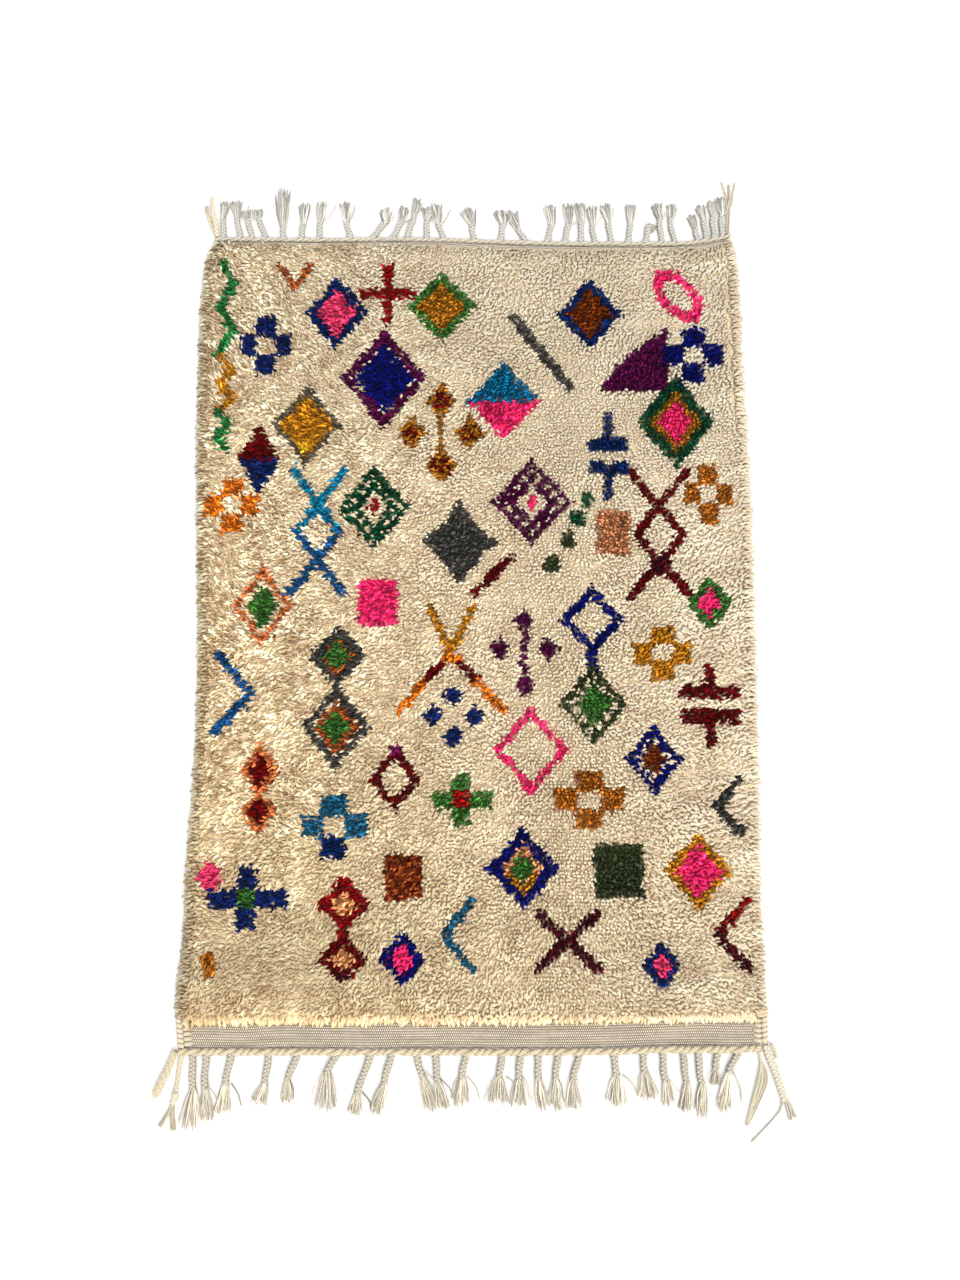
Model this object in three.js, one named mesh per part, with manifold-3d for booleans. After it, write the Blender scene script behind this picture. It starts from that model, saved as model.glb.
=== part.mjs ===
// Azilal rug: a hand-knotted wool rug that lies flat, with ribbed headings, overcast selvedges,
// a twined cord along each end and a plaited fringe that ends in loose tassels.
// Millimetres, +Z up. X runs across the rug and Y along it, away from the near end.
import * as THREE from "three";
import Module from "manifold-3d";

const wasm = await Module();
wasm.setup();

// Gives each row of numbers a name for each of its columns.
function table(columns, rows) {
  const names = columns.split(" ");
  return rows.map((row) => Object.fromEntries(names.map((name, i) => [name, row[i]])));
}

const GAP = 0.3; // between neighbouring pieces
const RUG_LENGTH = 1436; // between the two end cords, at the middle of the near end
const STATION = 15; // length between the stations of a long edge

const GROUND_THICKNESS = 3;
const GROUND_STEP = 24; // between the corners of its outline
const NEAR_HEADING = 46; // bare weave at the near end
const FAR_HEADING = 8; // bare weave at the far end
const RIB_PITCH = 4.9;
const RIB_RISE = 0.6;
const RIB_WIDTH = 4.1;
const RIB_STEP = 120; // between the stations of a rib
const RIB_INSET = 1; // of a rib's ends from the sides of the weave

const SELVEDGE = { width: 12, height: 9, grooveWidth: 10.4, grooveHeight: 7.6 };
const END_CORD = { width: 10, height: 8.4, grooveWidth: 8, grooveHeight: 7 };
const BEVEL = 0.25; // of a selvedge or an end cord, as a share of its width

const PILE_STEP = 32; // between the lumps of the pile
const PILE_HEIGHT = 13.6; // mean height of the pile above the floor
const RIM_HEIGHT = 11.2; // at the pile's edge
const LUMP_RISE = 1.8;
const LUMP_WANDER = 6; // of a lump from its place in its row
const BAND_RISE = 0.8; // between one band of knots and the next
const PILE_INSET = 0.7; // from the edge of the ground weave

// The pile's edge lies over what is beside it: how far past the ground weave it reaches on each side,
// how uneven that reach is, and the level of its underside there.
const LIP = {
  left: { reach: 15.5, uneven: 1.8 },
  right: { reach: 10, uneven: 1.8 },
  near: { reach: 7, uneven: 1.6 },
  far: { reach: 3.5, uneven: 1 },
};
const LIP_OVER_SELVEDGE = 9.4;
const LIP_OVER_HEADING = 4.6;
const LIP_UNEVEN = 1 / 3; // of the lumps on the pile's edge, as a share of the others
const RIM_LOCK = { pitch: 58, root: 12, reach: 5, skew: 0.3, width: 15, height: 2.4 };
const LOCK_TAPER = { root: 0.8, tip: 0.35 }; // shares of a rim lock's width

const PLAIT = { width: 9.6, height: 6.4, endShare: 0.85, sway: 1.1, steps: 4 };
const TASSEL = { width: 5.4, height: 4.4, gap: 0.6, thinning: 0.5 };
const TASSEL_ROOT = { width: 2.1, spacing: 2.4, height: 3 };
const SIDE_LOCK = { share: 0.86, uneven: 0.1 }; // of the middle lock's length
const THROAT = { at: 0.4, fan: 0.6, width: 0.9 }; // where a tassel has opened, as shares of its end
const STRAND_ROOT = { depth: 4, lift: 0.5 }; // of a plait in its end cord
const LOCK_ROOT = { depth: 1.6, lift: 1 }; // of a tassel's lock in its plait

// Distance of each selvedge's outer side from the centre line, by the distance from the near end.
const EDGES = table("y left right", [
  [0, 493, 494],
  [70, 500, 494],
  [170, 493, 491],
  [300, 492, 491],
  [470, 486, 496],
  [660, 488, 499],
  [850, 497, 501],
  [1040, 506, 501],
  [1180, 509, 497],
  [1330, 509, 496],
  [1400, 503, 494],
  [1436, 489, 486],
]);

// How far each end of the rug bulges out of square, across the rug.
const ENDS = table("x near far", [
  [-494, 3, 8],
  [-300, 3, 7],
  [-70, 3, 7],
  [90, 3, 1],
  [230, 2, -1],
  [320, -1, -1],
  [400, -1, 0],
  [450, -2, 7],
  [494, -3, 18],
]);

// Each plait: where it leaves the end cord, where its tassel starts, where the tassel ends and how wide
// it has spread there. Reaches are measured from the end of the ground weave.
const PLAIT_COLUMNS = "root head headReach tip tipReach spread";
const NEAR_PLAITS = table(PLAIT_COLUMNS, [
  [-469, -464, 68, -468, 130, 20],
  [-446, -445, 64, -437, 117, 16],
  [-403, -411, 59, -416, 105, 17],
  [-342, -346, 59, -359, 90, 17],
  [-292, -308, 52, -308, 88, 13],
  [-225, -243, 41, -245, 101, 26],
  [-170, -192, 73, -197, 107, 14],
  [-135, -147, 57, -163, 106, 14],
  [-97, -84, 44, -66, 101, 15],
  [-65, -58, 55, -45, 98, 14],
  [-11, -18, 48, -20, 94, 22],
  [47, 44, 49, 42, 91, 25],
  [79, 78, 51, 78, 95, 24],
  [107, 110, 51, 117, 100, 15],
  [142, 138, 51, 140, 101, 14],
  [179, 166, 54, 166, 99, 17],
  [232, 240, 48, 236, 95, 22],
  [283, 287, 43, 292, 89, 22],
  [316, 321, 59, 326, 96, 15],
  [349, 356, 60, 352, 106, 15],
  [375, 381, 62, 377, 114, 14],
  [408, 405, 38, 403, 65, 11],
  [446, 426, 45, 414, 106, 16],
]);
const FAR_PLAITS = table(PLAIT_COLUMNS, [
  [-474, -474, 50, -474, 84, 11],
  [-441, -448, 52, -452, 86, 13],
  [-418, -427, 46, -432, 66, 12],
  [-393, -407, 48, -411, 68, 12],
  [-360, -360, 30, -364, 112, 15],
  [-326, -321, 39, -320, 83, 11],
  [-292, -289, 45, -288, 85, 13],
  [-233, -241, 44, -244, 85, 13],
  [-194, -166, 41, -168, 72, 11],
  [-156, -135, 44, -132, 74, 11],
  [-128, -114, 44, -106, 91, 11],
  [-90, -88, 45, -89, 74, 10],
  [-57, -67, 40, -72, 82, 14],
  [1, -2, 38, -15, 73, 13],
  [49, 56, 42, 48, 73, 13],
  [99, 84, 33, 68, 72, 14],
  [137, 148, 42, 144, 84, 13],
  [171, 181, 45, 178, 89, 11],
  [201, 205, 51, 201, 91, 11],
  [229, 226, 45, 224, 84, 11],
  [259, 255, 53, 248, 89, 12],
  [290, 298, 45, 299, 87, 11],
  [322, 332, 43, 343, 33, 10],
  [355, 353, 57, 346, 89, 11],
  [380, 373, 50, 376, 88, 11],
  [424, 420, 34, 411, 63, 9],
  [439, 436, 51, 427, 81, 9],
  [454, 454, 54, 450, 88, 9],
  [470, 471, 51, 469, 91, 9],
]);
const CURLED_END = { x: -257, reach: 13, width: 8, height: 5, endShare: 0.6 };

// Corner tails: the end they belong to, and the points that each of their strands runs through.
const tails = (name, far, strands) => ({
  name,
  far,
  strands: strands.map((rows) => table("x reach width height", rows)),
});
const CORNERS = [
  tails("corner_cord_near_left", false, [
    [[-498.3, 5, 10, 9], [-505, 28, 12, 10], [-517, 54, 15, 10], [-524, 70, 14, 9], [-527, 77, 11, 7]],
  ]),
  tails("corner_tail_near_left", false, [
    [[-485, 10.2, 9, 7], [-490, 40, 8, 6], [-492, 62, 8, 6], [-494, 77, 13, 8], [-499, 90, 9, 6]],
    [[-496, 82, 5, 5], [-505, 104, 5, 5], [-518, 125, 4, 3]],
    [[-497, 82, 6, 5], [-498, 106, 8, 5], [-495, 131, 7, 3]],
  ]),
  tails("corner_plait_near_right", false, [
    [[488.5, 1.9, 11, 8], [493, 16, 13, 8], [505, 48, 13, 8], [517, 90, 12, 8]],
    [[516, 84, 7, 5], [522, 104, 8, 5], [525, 121, 7, 3]],
    [[518, 86, 5, 5], [528, 100, 6, 5], [534, 117, 5, 3]],
    [[514, 86, 4, 4], [510, 104, 5, 4], [498, 118, 3, 3], [460, 154, 3, 2]],
  ]),
  tails("corner_end_near_right", false, [
    [[498, 1.2, 6, 6], [504, 9, 6, 6], [507.5, 22, 5, 5]],
  ]),
  tails("corner_tuft_near_right", false, [
    [[477, 10.8, 5, 5], [481, 30, 6, 6], [481, 52, 16, 7], [472, 82, 13, 6], [453, 128, 3, 3]],
  ]),
  tails("corner_tails_far_left", true, [
    [[-484, 11, 9, 8], [-489, 36, 11, 8], [-495, 62, 10, 8], [-498, 92, 6, 6]],
    [[-488, 14, 5, 5], [-500, 42, 7, 5], [-508, 72, 7, 4]],
  ]),
  tails("corner_tails_far_right", true, [
    [[480.8, 11, 8, 7], [483, 40, 8, 7], [485, 66, 9, 6]],
    [[483, 60, 4, 5], [480, 92, 5, 4], [474, 120, 3, 3]],
    [[485, 60, 4, 5], [487, 90, 5, 4], [486, 111, 3, 3]],
    [[487, 60, 4, 5], [494, 90, 4, 4], [498, 112, 3, 3]],
  ]),
];

const CREAM_WOOL = new THREE.MeshStandardMaterial({ color: 0xe8dcbc, roughness: 0.95 });
const GREY_WEAVE = new THREE.MeshStandardMaterial({ color: 0xcfc8bb, roughness: 0.95 });
const CORD_WOOL = new THREE.MeshStandardMaterial({ color: 0xe3d6b2, roughness: 0.95 });
const COTTON = new THREE.MeshStandardMaterial({ color: 0xd9d5cb, roughness: 0.9 });

// A smooth curve through the rows of a table, with a value for each of the named columns.
function curve(rows, along, columns) {
  const values = rows.flatMap((row) => columns.map((column) => row[column]));
  const spline = new THREE.CubicInterpolant(rows.map((row) => row[along]), values, columns.length);
  return (place) => [...spline.evaluate(place)];
}

const sidesAt = curve(EDGES, "y", ["left", "right"]);
const bulgesAt = curve(ENDS, "x", ["near", "far"]);

// The left and right outer sides of the rug, and those of its ground weave, at a distance y.
function outerSides(y) {
  const [left, right] = sidesAt(y);
  return [-left, right];
}
function weaveSides(y) {
  const [left, right] = outerSides(y);
  return [left + SELVEDGE.width + GAP, right - SELVEDGE.width - GAP];
}

// Everything is laid out square first. This moves a point with the end of the rug that it is nearest to.
function outOfSquare(x, y) {
  const [near, far] = bulgesAt(x);
  const share = THREE.MathUtils.clamp(y / RUG_LENGTH, 0, 1);
  return y + far * share - near * (1 - share);
}

// A repeatable uneven value from -1 to 1 for a pair of numbers.
const SCATTER = { first: 127.1, second: 311.7, size: 43758.5453 };
function uneven(i, j) {
  const wave = Math.sin(i * SCATTER.first + j * SCATTER.second) * SCATTER.size;
  return 2 * (wave - Math.floor(wave)) - 1;
}

// A closed solid from points and the triangles between them.
function solid(points, triangles) {
  const mesh = new wasm.Mesh({
    numProp: 3,
    vertProperties: new Float32Array(points.flat()),
    triVerts: new Uint32Array(triangles.flat()),
  });
  return new wasm.Manifold(mesh);
}

const joined = (solids) => solids.reduce((whole, next) => whole.add(next));

function piece(name, body, material) {
  const mesh = body.getMesh();
  const points = new THREE.BufferAttribute(mesh.vertProperties.slice(), 3);
  for (let i = 0; i < points.count; i++) points.setY(i, outOfSquare(points.getX(i), points.getY(i)));
  const geometry = new THREE.BufferGeometry();
  geometry.setAttribute("position", points);
  geometry.setIndex(new THREE.BufferAttribute(mesh.triVerts.slice(), 1));
  geometry.computeVertexNormals();
  const result = new THREE.Mesh(geometry, material);
  result.name = name;
  return result;
}

// Joins rings of points, each anticlockwise for an eye that looks along the strand.
function loft(rings) {
  const sides = rings[0].length;
  const last = (rings.length - 1) * sides;
  const triangles = [];
  for (let i = 2; i < sides; i++) triangles.push([0, i - 1, i], [last, last + i, last + i - 1]);
  for (let from = 0; from < last; from += sides) {
    for (let i = 0; i < sides; i++) {
      const next = (i + 1) % sides;
      const [a, b, c, d] = [from + i, from + sides + i, from + sides + next, from + next];
      triangles.push([a, b, c], [a, c, d]);
    }
  }
  return solid(rings.flat(), triangles);
}

// A strand of yarn or a lock of wool: level underneath, with a narrower top, along stops with
// x, y, width and height. A lock's top is a ridge, so its flatTop is 0.
function strand(stops, level = 0, flatTop = 0.6) {
  const rings = stops.map((stop, i) => {
    const before = stops[Math.max(i - 1, 0)];
    const after = stops[Math.min(i + 1, stops.length - 1)];
    const along = new THREE.Vector2(after.x - before.x, after.y - before.y).normalize();
    const half = stop.width / 2;
    const corner = (side, z) => [stop.x + along.y * side, stop.y - along.x * side, z];
    const base = level + (stop.lift ?? 0);
    const top = base + stop.height;
    if (flatTop === 0) return [corner(-half, base), corner(half, base), corner(0, top)];
    return [
      corner(-half, base),
      corner(half, base),
      corner(half * flatTop, top),
      corner(-half * flatTop, top),
    ];
  });
  return loft(rings);
}

// Places from 0 to a length, as near as can be to one step apart.
function spaced(length, step) {
  const count = Math.round(length / step);
  return Array.from({ length: count + 1 }, (_, i) => (i * length) / count);
}

function makeGroundWeave() {
  const outline = [];
  const places = spaced(RUG_LENGTH, GROUND_STEP);
  const [nearLeft, nearRight] = weaveSides(0);
  const [farLeft, farRight] = weaveSides(RUG_LENGTH);
  for (const x of spaced(nearRight - nearLeft, GROUND_STEP)) outline.push([nearLeft + x, 0]);
  for (const y of places.slice(1, -1)) outline.push([weaveSides(y)[1], y]);
  for (const x of spaced(farRight - farLeft, GROUND_STEP)) outline.push([farRight - x, RUG_LENGTH]);
  for (const y of places.slice(1, -1).reverse()) outline.push([weaveSides(y)[0], y]);
  const corners = outline.map(([x, y]) => new THREE.Vector2(x, y));
  const levels = [0, GROUND_THICKNESS];
  const points = levels.flatMap((z) => outline.map(([x, y]) => [x, y, z]));
  const top = outline.length;
  const triangles = THREE.ShapeUtils.triangulateShape(corners, []).flatMap(([a, b, c]) => [
    [a, c, b],
    [top + a, top + b, top + c],
  ]);
  outline.forEach((_, i) => {
    const next = (i + 1) % top;
    triangles.push([i, next, top + next], [i, top + next, top + i]);
  });
  return piece("ground_weave", joined([solid(points, triangles), ...headingRibs()]), GREY_WEAVE);
}

// The ribs of the near heading, each a ridge right across the weave.
function headingRibs() {
  const count = Math.floor(NEAR_HEADING / RIB_PITCH);
  const places = Array.from({ length: count }, (_, i) => (i + 0.5) * RIB_PITCH);
  const half = RIB_WIDTH / 2;
  const sunk = GROUND_THICKNESS / 2;
  const crest = GROUND_THICKNESS + RIB_RISE;
  return places.map((y) => {
    const [left, right] = weaveSides(y);
    const stops = spaced(right - left - 2 * RIB_INSET, RIB_STEP).map((x) => left + RIB_INSET + x);
    return loft(stops.map((x) => [[x, y + half, sunk], [x, y - half, sunk], [x, y, crest]]));
  });
}

function makeSelvedge(name, side) {
  const rings = spaced(RUG_LENGTH, STATION).map((y, i) => {
    const groove = i % 2 === 0;
    const width = groove ? SELVEDGE.grooveWidth : SELVEDGE.width;
    const height = groove ? SELVEDGE.grooveHeight : SELVEDGE.height;
    const inner = outerSides(y)[side] + (side === 0 ? SELVEDGE.width : -SELVEDGE.width);
    const [left, right] = side === 0 ? [inner - width, inner] : [inner, inner + width];
    const bevel = width * BEVEL;
    return [[left, y, 0], [right, y, 0], [right - bevel, y, height], [left + bevel, y, height]];
  });
  return piece(name, loft(rings), CREAM_WOOL);
}

// The pile's top, a grid of lumps from one lip to the other. Its rim is every point on its edge.
function pileTop() {
  const start = NEAR_HEADING;
  const length = RUG_LENGTH - FAR_HEADING - start;
  const [left, right] = weaveSides(RUG_LENGTH / 2);
  const rows = Math.round(length / PILE_STEP);
  const columns = Math.round((right - left) / PILE_STEP);
  const lip = ({ reach, uneven: range }, i, j) => reach + range * uneven(i, j);
  const places = [];
  for (let row = 0; row <= rows; row++) {
    for (let column = 0; column <= columns; column++) {
      const sideways = column === 0 || column === columns;
      const endways = row === 0 || row === rows;
      const wander = sideways || endways ? 0 : LUMP_WANDER;
      const nearLip = row === 0 ? lip(LIP.near, column, 1) : 0;
      const farLip = row === rows ? lip(LIP.far, column, 2) : 0;
      const footY = start + (length * row) / rows;
      const y = footY - nearLip + farLip + wander * uneven(row, column + 7);
      const [from, to] = weaveSides(y);
      const share = column / columns;
      const footX = THREE.MathUtils.lerp(from + PILE_INSET, to - PILE_INSET, share);
      const leftLip = column === 0 ? lip(LIP.left, row, 3) : 0;
      const rightLip = column === columns ? lip(LIP.right, row, 4) : 0;
      const x = footX - leftLip + rightLip + wander * uneven(column + 3, row);
      const band = row % 2 === 0 ? BAND_RISE : -BAND_RISE;
      const lump = LUMP_RISE * uneven(column, row);
      const z = sideways || endways ? RIM_HEIGHT + lump * LIP_UNEVEN : PILE_HEIGHT + band + lump;
      const overSelvedge = column <= 1 || column >= columns - 1;
      places.push({ x, y, z, footX, footY, under: overSelvedge ? LIP_OVER_SELVEDGE : LIP_OVER_HEADING });
    }
  }
  return { places, rows, columns };
}

// The slab of pile: a lumpy top, a lip all round and a flat underside just above the ground weave.
function pileSlab() {
  const { places, rows, columns } = pileTop();
  const at = (column, row) => row * (columns + 1) + column;
  const points = places.map(({ x, y, z }) => [x, y, z]);
  const triangles = [];
  for (let row = 0; row < rows; row++) {
    for (let column = 0; column < columns; column++) {
      const [a, b] = [at(column, row), at(column + 1, row)];
      const [c, d] = [at(column + 1, row + 1), at(column, row + 1)];
      triangles.push([a, b, c], [a, c, d]);
    }
  }
  const rim = [];
  for (let column = 0; column < columns; column++) rim.push(at(column, 0));
  for (let row = 0; row < rows; row++) rim.push(at(columns, row));
  for (let column = columns; column > 0; column--) rim.push(at(column, rows));
  for (let row = rows; row > 0; row--) rim.push(at(0, row));
  const edge = rim.map((index) => places[index]);
  const floor = GROUND_THICKNESS + GAP;
  const lip = points.length;
  const neck = lip + rim.length;
  const foot = neck + rim.length;
  points.push(...edge.map(({ x, y, under }) => [x, y, under]));
  points.push(...edge.map(({ footX, footY, under }) => [footX, footY, under]));
  points.push(...edge.map(({ footX, footY }) => [footX, footY, floor]));
  rim.forEach((top, i) => {
    const next = (i + 1) % rim.length;
    triangles.push([lip + i, lip + next, rim[next]], [lip + i, rim[next], top]);
    triangles.push([neck + i, neck + next, lip + next], [neck + i, lip + next, lip + i]);
    triangles.push([foot + i, foot + next, neck + next], [foot + i, neck + next, neck + i]);
  });
  const outline = edge.map(({ footX, footY }) => new THREE.Vector2(footX, footY));
  for (const [a, b, c] of THREE.ShapeUtils.triangulateShape(outline, [])) {
    triangles.push([foot + a, foot + c, foot + b]);
  }
  return solid(points, triangles);
}

// A lock of pile that leans out of the slab's lip.
function rimLock(x, y, outX, outY, level) {
  const { root, reach, width, height } = RIM_LOCK;
  const skew = RIM_LOCK.skew * uneven(Math.round(x), Math.round(y));
  const stop = (along, share) => ({
    x: x + outX * along - outY * along * skew,
    y: y + outY * along + outX * along * skew,
    width: width * share,
    height: height * share,
  });
  return strand([stop(-root, LOCK_TAPER.root), stop(0, 1), stop(reach, LOCK_TAPER.tip)], level, 0);
}

function makePile() {
  const solids = [pileSlab()];
  const sunk = 0.3; // of a lock's underside in the lip's
  const over = LIP_OVER_SELVEDGE + sunk;
  for (let y = NEAR_HEADING + RIM_LOCK.pitch / 2; y < RUG_LENGTH - RIM_LOCK.pitch; y += RIM_LOCK.pitch) {
    const [left, right] = weaveSides(y);
    solids.push(rimLock(left - LIP.left.reach + LIP.left.uneven, y, -1, 0, over));
    solids.push(rimLock(right + LIP.right.reach - LIP.right.uneven, y + RIM_LOCK.pitch / 2, 1, 0, over));
  }
  const [left, right] = weaveSides(NEAR_HEADING);
  for (let x = left + RIM_LOCK.pitch; x < right - RIM_LOCK.pitch; x += RIM_LOCK.pitch) {
    const y = NEAR_HEADING - LIP.near.reach + LIP.near.uneven;
    solids.push(rimLock(x, y, 0, -1, LIP_OVER_HEADING + sunk));
  }
  return piece("pile", joined(solids), CREAM_WOOL);
}

// The cord along one end. Its bulges are its twist, and its inner side stays clear of the ground weave.
// At the near end it stops short of the right selvedge, where the corner's plait starts.
function endCord(far) {
  const [left, outer] = outerSides(far ? RUG_LENGTH : 0);
  const right = far ? outer : outer - SELVEDGE.width;
  const rings = spaced(right - left, STATION).map((offset, i) => {
    const x = left + offset;
    const groove = i % 2 === 0;
    const width = groove ? END_CORD.grooveWidth : END_CORD.width;
    const height = groove ? END_CORD.grooveHeight : END_CORD.height;
    const bevel = width * BEVEL;
    const [low, high] = far ? [RUG_LENGTH + GAP, RUG_LENGTH + GAP + width] : [-GAP - width, -GAP];
    return [[x, high, 0], [x, low, 0], [x, low + bevel, height], [x, high - bevel, height]];
  });
  return loft(rings);
}

// Turns a reach past one end of the rug into a place along it.
const placeOf = (reach, far) => (far ? RUG_LENGTH + reach : -reach);

function plait(row, far) {
  const start = GAP + END_CORD.width - STRAND_ROOT.depth;
  const stops = [];
  for (let i = 0; i <= PLAIT.steps; i++) {
    const share = i / PLAIT.steps;
    const atEnd = i === 0 || i === PLAIT.steps;
    const sway = atEnd ? 0 : PLAIT.sway * (i % 2 === 0 ? 1 : -1);
    stops.push({
      x: THREE.MathUtils.lerp(row.root, row.head, share) + sway,
      y: placeOf(THREE.MathUtils.lerp(start, row.headReach, share), far),
      width: PLAIT.width * (atEnd ? PLAIT.endShare : 1),
      height: PLAIT.height * (atEnd ? PLAIT.endShare : 1),
      lift: i === 0 ? STRAND_ROOT.lift : 0,
    });
  }
  return strand(stops);
}

// The three locks of a tassel, which part inside the end of their plait.
function tasselLocks(row, far) {
  const drop = row.tipReach - row.headReach;
  const turn = row.tip - row.head;
  const length = Math.hypot(drop, turn);
  const width = Math.min(TASSEL.width, (row.spread - 2 * TASSEL.gap) / 3);
  const fan = (row.spread - width) / 2;
  const inside = LOCK_ROOT.depth / Math.hypot(row.headReach, row.head - row.root);
  return [-1, 0, 1].map((side) => {
    const reach = side === 0 ? 1 : SIDE_LOCK.share + SIDE_LOCK.uneven * uneven(row.root, side);
    const stop = (share, out, size, lift) => ({
      x: row.head + turn * share + (drop / length) * out * side,
      y: placeOf(row.headReach + drop * share - (turn / length) * out * side, far),
      width: size,
      height: TASSEL.height * (1 - TASSEL.thinning * share),
      lift,
    });
    const root = stop(0, TASSEL_ROOT.spacing, TASSEL_ROOT.width, LOCK_ROOT.lift);
    root.height = TASSEL_ROOT.height;
    root.x -= (row.head - row.root) * inside;
    root.y -= (placeOf(row.headReach, far) - placeOf(0, far)) * inside;
    const opened = THREE.MathUtils.lerp(TASSEL_ROOT.spacing, fan, THROAT.fan);
    const throat = stop(reach * THROAT.at, opened, width * THROAT.width, 0);
    return strand([root, throat, stop(reach, fan, width, 0)], 0, 0);
  });
}

function makeFringe(name, rows, far, extras) {
  const strands = rows.flatMap((row) => [plait(row, far), ...tasselLocks(row, far)]);
  return piece(name, joined([endCord(far), ...strands, ...extras]), COTTON);
}

function curledEnd() {
  const { x, reach, width, height, endShare } = CURLED_END;
  const places = [GAP + END_CORD.width - STRAND_ROOT.depth, reach, reach + width / 2];
  const stops = places.map((place, i) => ({
    x,
    y: placeOf(place, true),
    width: i === 1 ? width : width * endShare,
    height,
    lift: i === 0 ? STRAND_ROOT.lift : 0,
  }));
  return strand(stops);
}

function makeCorner({ name, far, strands }) {
  const solids = strands.map((rows) => strand(rows.map((row) => ({ ...row, y: placeOf(row.reach, far) }))));
  return piece(name, joined(solids), name.includes("plait") ? COTTON : CORD_WOOL);
}

const group = new THREE.Group();
group.add(makeGroundWeave(), makePile());
group.add(makeSelvedge("selvedge_left", 0), makeSelvedge("selvedge_right", 1));
group.add(makeFringe("fringe_near", NEAR_PLAITS, false, []));
group.add(makeFringe("fringe_far", FAR_PLAITS, true, [curledEnd()]));
group.add(...CORNERS.map(makeCorner));

// The origin is the middle of the whole rug, on the floor.
const middle = new THREE.Box3().setFromObject(group).getCenter(new THREE.Vector3());
group.position.set(-middle.x, -middle.y, 0);

export default group;
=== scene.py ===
# %% [markdown]
# # An azilal rug
# This notebook dresses a flat, hand-knotted wool rug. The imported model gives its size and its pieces:
# the ground weave, the pile, two selvedges and two fringes, with loose tails at the corners.
# Blender adds what the hand feels: thousands of wool tufts, plaits, tassels, twisted cords and their dyes.

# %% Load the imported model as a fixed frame
import math

import bpy
import numpy as np
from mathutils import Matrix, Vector


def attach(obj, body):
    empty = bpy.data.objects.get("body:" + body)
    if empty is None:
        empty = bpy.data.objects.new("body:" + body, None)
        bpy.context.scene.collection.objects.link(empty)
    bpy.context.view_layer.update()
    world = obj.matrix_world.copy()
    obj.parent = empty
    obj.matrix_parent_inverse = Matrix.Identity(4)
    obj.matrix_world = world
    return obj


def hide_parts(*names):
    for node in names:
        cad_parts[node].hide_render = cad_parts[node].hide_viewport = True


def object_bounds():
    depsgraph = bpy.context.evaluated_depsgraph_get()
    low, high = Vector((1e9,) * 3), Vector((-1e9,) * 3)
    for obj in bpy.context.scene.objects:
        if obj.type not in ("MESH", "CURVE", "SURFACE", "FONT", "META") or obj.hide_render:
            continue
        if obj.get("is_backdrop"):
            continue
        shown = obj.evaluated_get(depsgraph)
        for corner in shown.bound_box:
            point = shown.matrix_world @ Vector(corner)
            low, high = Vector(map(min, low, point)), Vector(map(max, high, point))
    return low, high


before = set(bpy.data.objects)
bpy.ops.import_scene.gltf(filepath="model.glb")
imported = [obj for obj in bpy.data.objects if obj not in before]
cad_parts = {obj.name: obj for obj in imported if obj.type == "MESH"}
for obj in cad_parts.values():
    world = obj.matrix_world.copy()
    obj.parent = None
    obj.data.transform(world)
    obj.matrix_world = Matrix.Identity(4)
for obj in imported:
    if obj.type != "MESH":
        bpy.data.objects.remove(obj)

cad_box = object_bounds()
rng = np.random.default_rng(64)
print("nodes:", sorted(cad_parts))

# %% [markdown]
# ## The rug's layout
# A rug is laid out on the loom as a rectangle, and it comes off a little out of square.
# So every place here is given in millimetres on the square layout: x from the centre line and y from the
# near end of the ground weave. Two short tables then say how the sides wander and how the ends bulge.
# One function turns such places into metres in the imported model's frame.

# %% Outline tables
MM = 0.001
GAP = 0.3
RUG_LENGTH = 1436.0
NEAR_HEADING = 46.0
FAR_HEADING = 8.0
SELVEDGE_WIDTH = 12.0
END_CORD_WIDTH = 10.0

# distance from the near end, left side, right side
EDGES = np.array([
    (0, 493, 494), (70, 500, 494), (170, 493, 491), (300, 492, 491), (470, 486, 496), (660, 488, 499),
    (850, 497, 501), (1040, 506, 501), (1180, 509, 497), (1330, 509, 496), (1400, 503, 494), (1436, 489, 486),
], float)
# place across the rug, bulge of the near end, bulge of the far end
ENDS = np.array([
    (-494, 3, 8), (-300, 3, 7), (-70, 3, 7), (90, 3, 1), (230, 2, -1), (320, -1, -1), (400, -1, 0),
    (450, -2, 7), (494, -3, 18),
], float)
print("layout:", RUG_LENGTH, "mm long, its near end", EDGES[0, 1] + EDGES[0, 2], "mm wide")

# %% Reading the outline tables
BEYOND = 0.2  # a curve goes on past its table's ends by this share of a step


def ramp(value):
    """A value held between 0 and 1."""
    return np.clip(value, 0, 1)


def smooth_curve(rows, column, at):
    """A smooth curve through one column of a table, read at the places in its first column."""
    places, values = rows[:, 0], rows[:, column]
    slopes = np.gradient(values, places)
    at = np.asarray(at, float)
    i = np.clip(np.searchsorted(places, at) - 1, 0, len(places) - 2)
    step = places[i + 1] - places[i]
    t = np.clip((at - places[i]) / step, -BEYOND, 1 + BEYOND)
    return (
        (2 * t**3 - 3 * t**2 + 1) * values[i]
        + (t**3 - 2 * t**2 + t) * step * slopes[i]
        + (3 * t**2 - 2 * t**3) * values[i + 1]
        + (t**3 - t**2) * step * slopes[i + 1]
    )


def outer_sides(y):
    """The rug's left and right side at a distance from its near end."""
    return -smooth_curve(EDGES, 1, y), smooth_curve(EDGES, 2, y)


def weave_sides(y):
    """The ground weave's sides, inside the selvedges."""
    left, right = outer_sides(y)
    return left + SELVEDGE_WIDTH + GAP, right - SELVEDGE_WIDTH - GAP


def out_of_square(x, y):
    """How far along the rug a layout place really is, where its ends bulge."""
    share = ramp(y / RUG_LENGTH)
    return y + smooth_curve(ENDS, 2, x) * share - smooth_curve(ENDS, 1, x) * (1 - share)


print("ground weave's sides halfway along:", [round(float(x), 1) for x in weave_sides(RUG_LENGTH / 2)])

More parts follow.
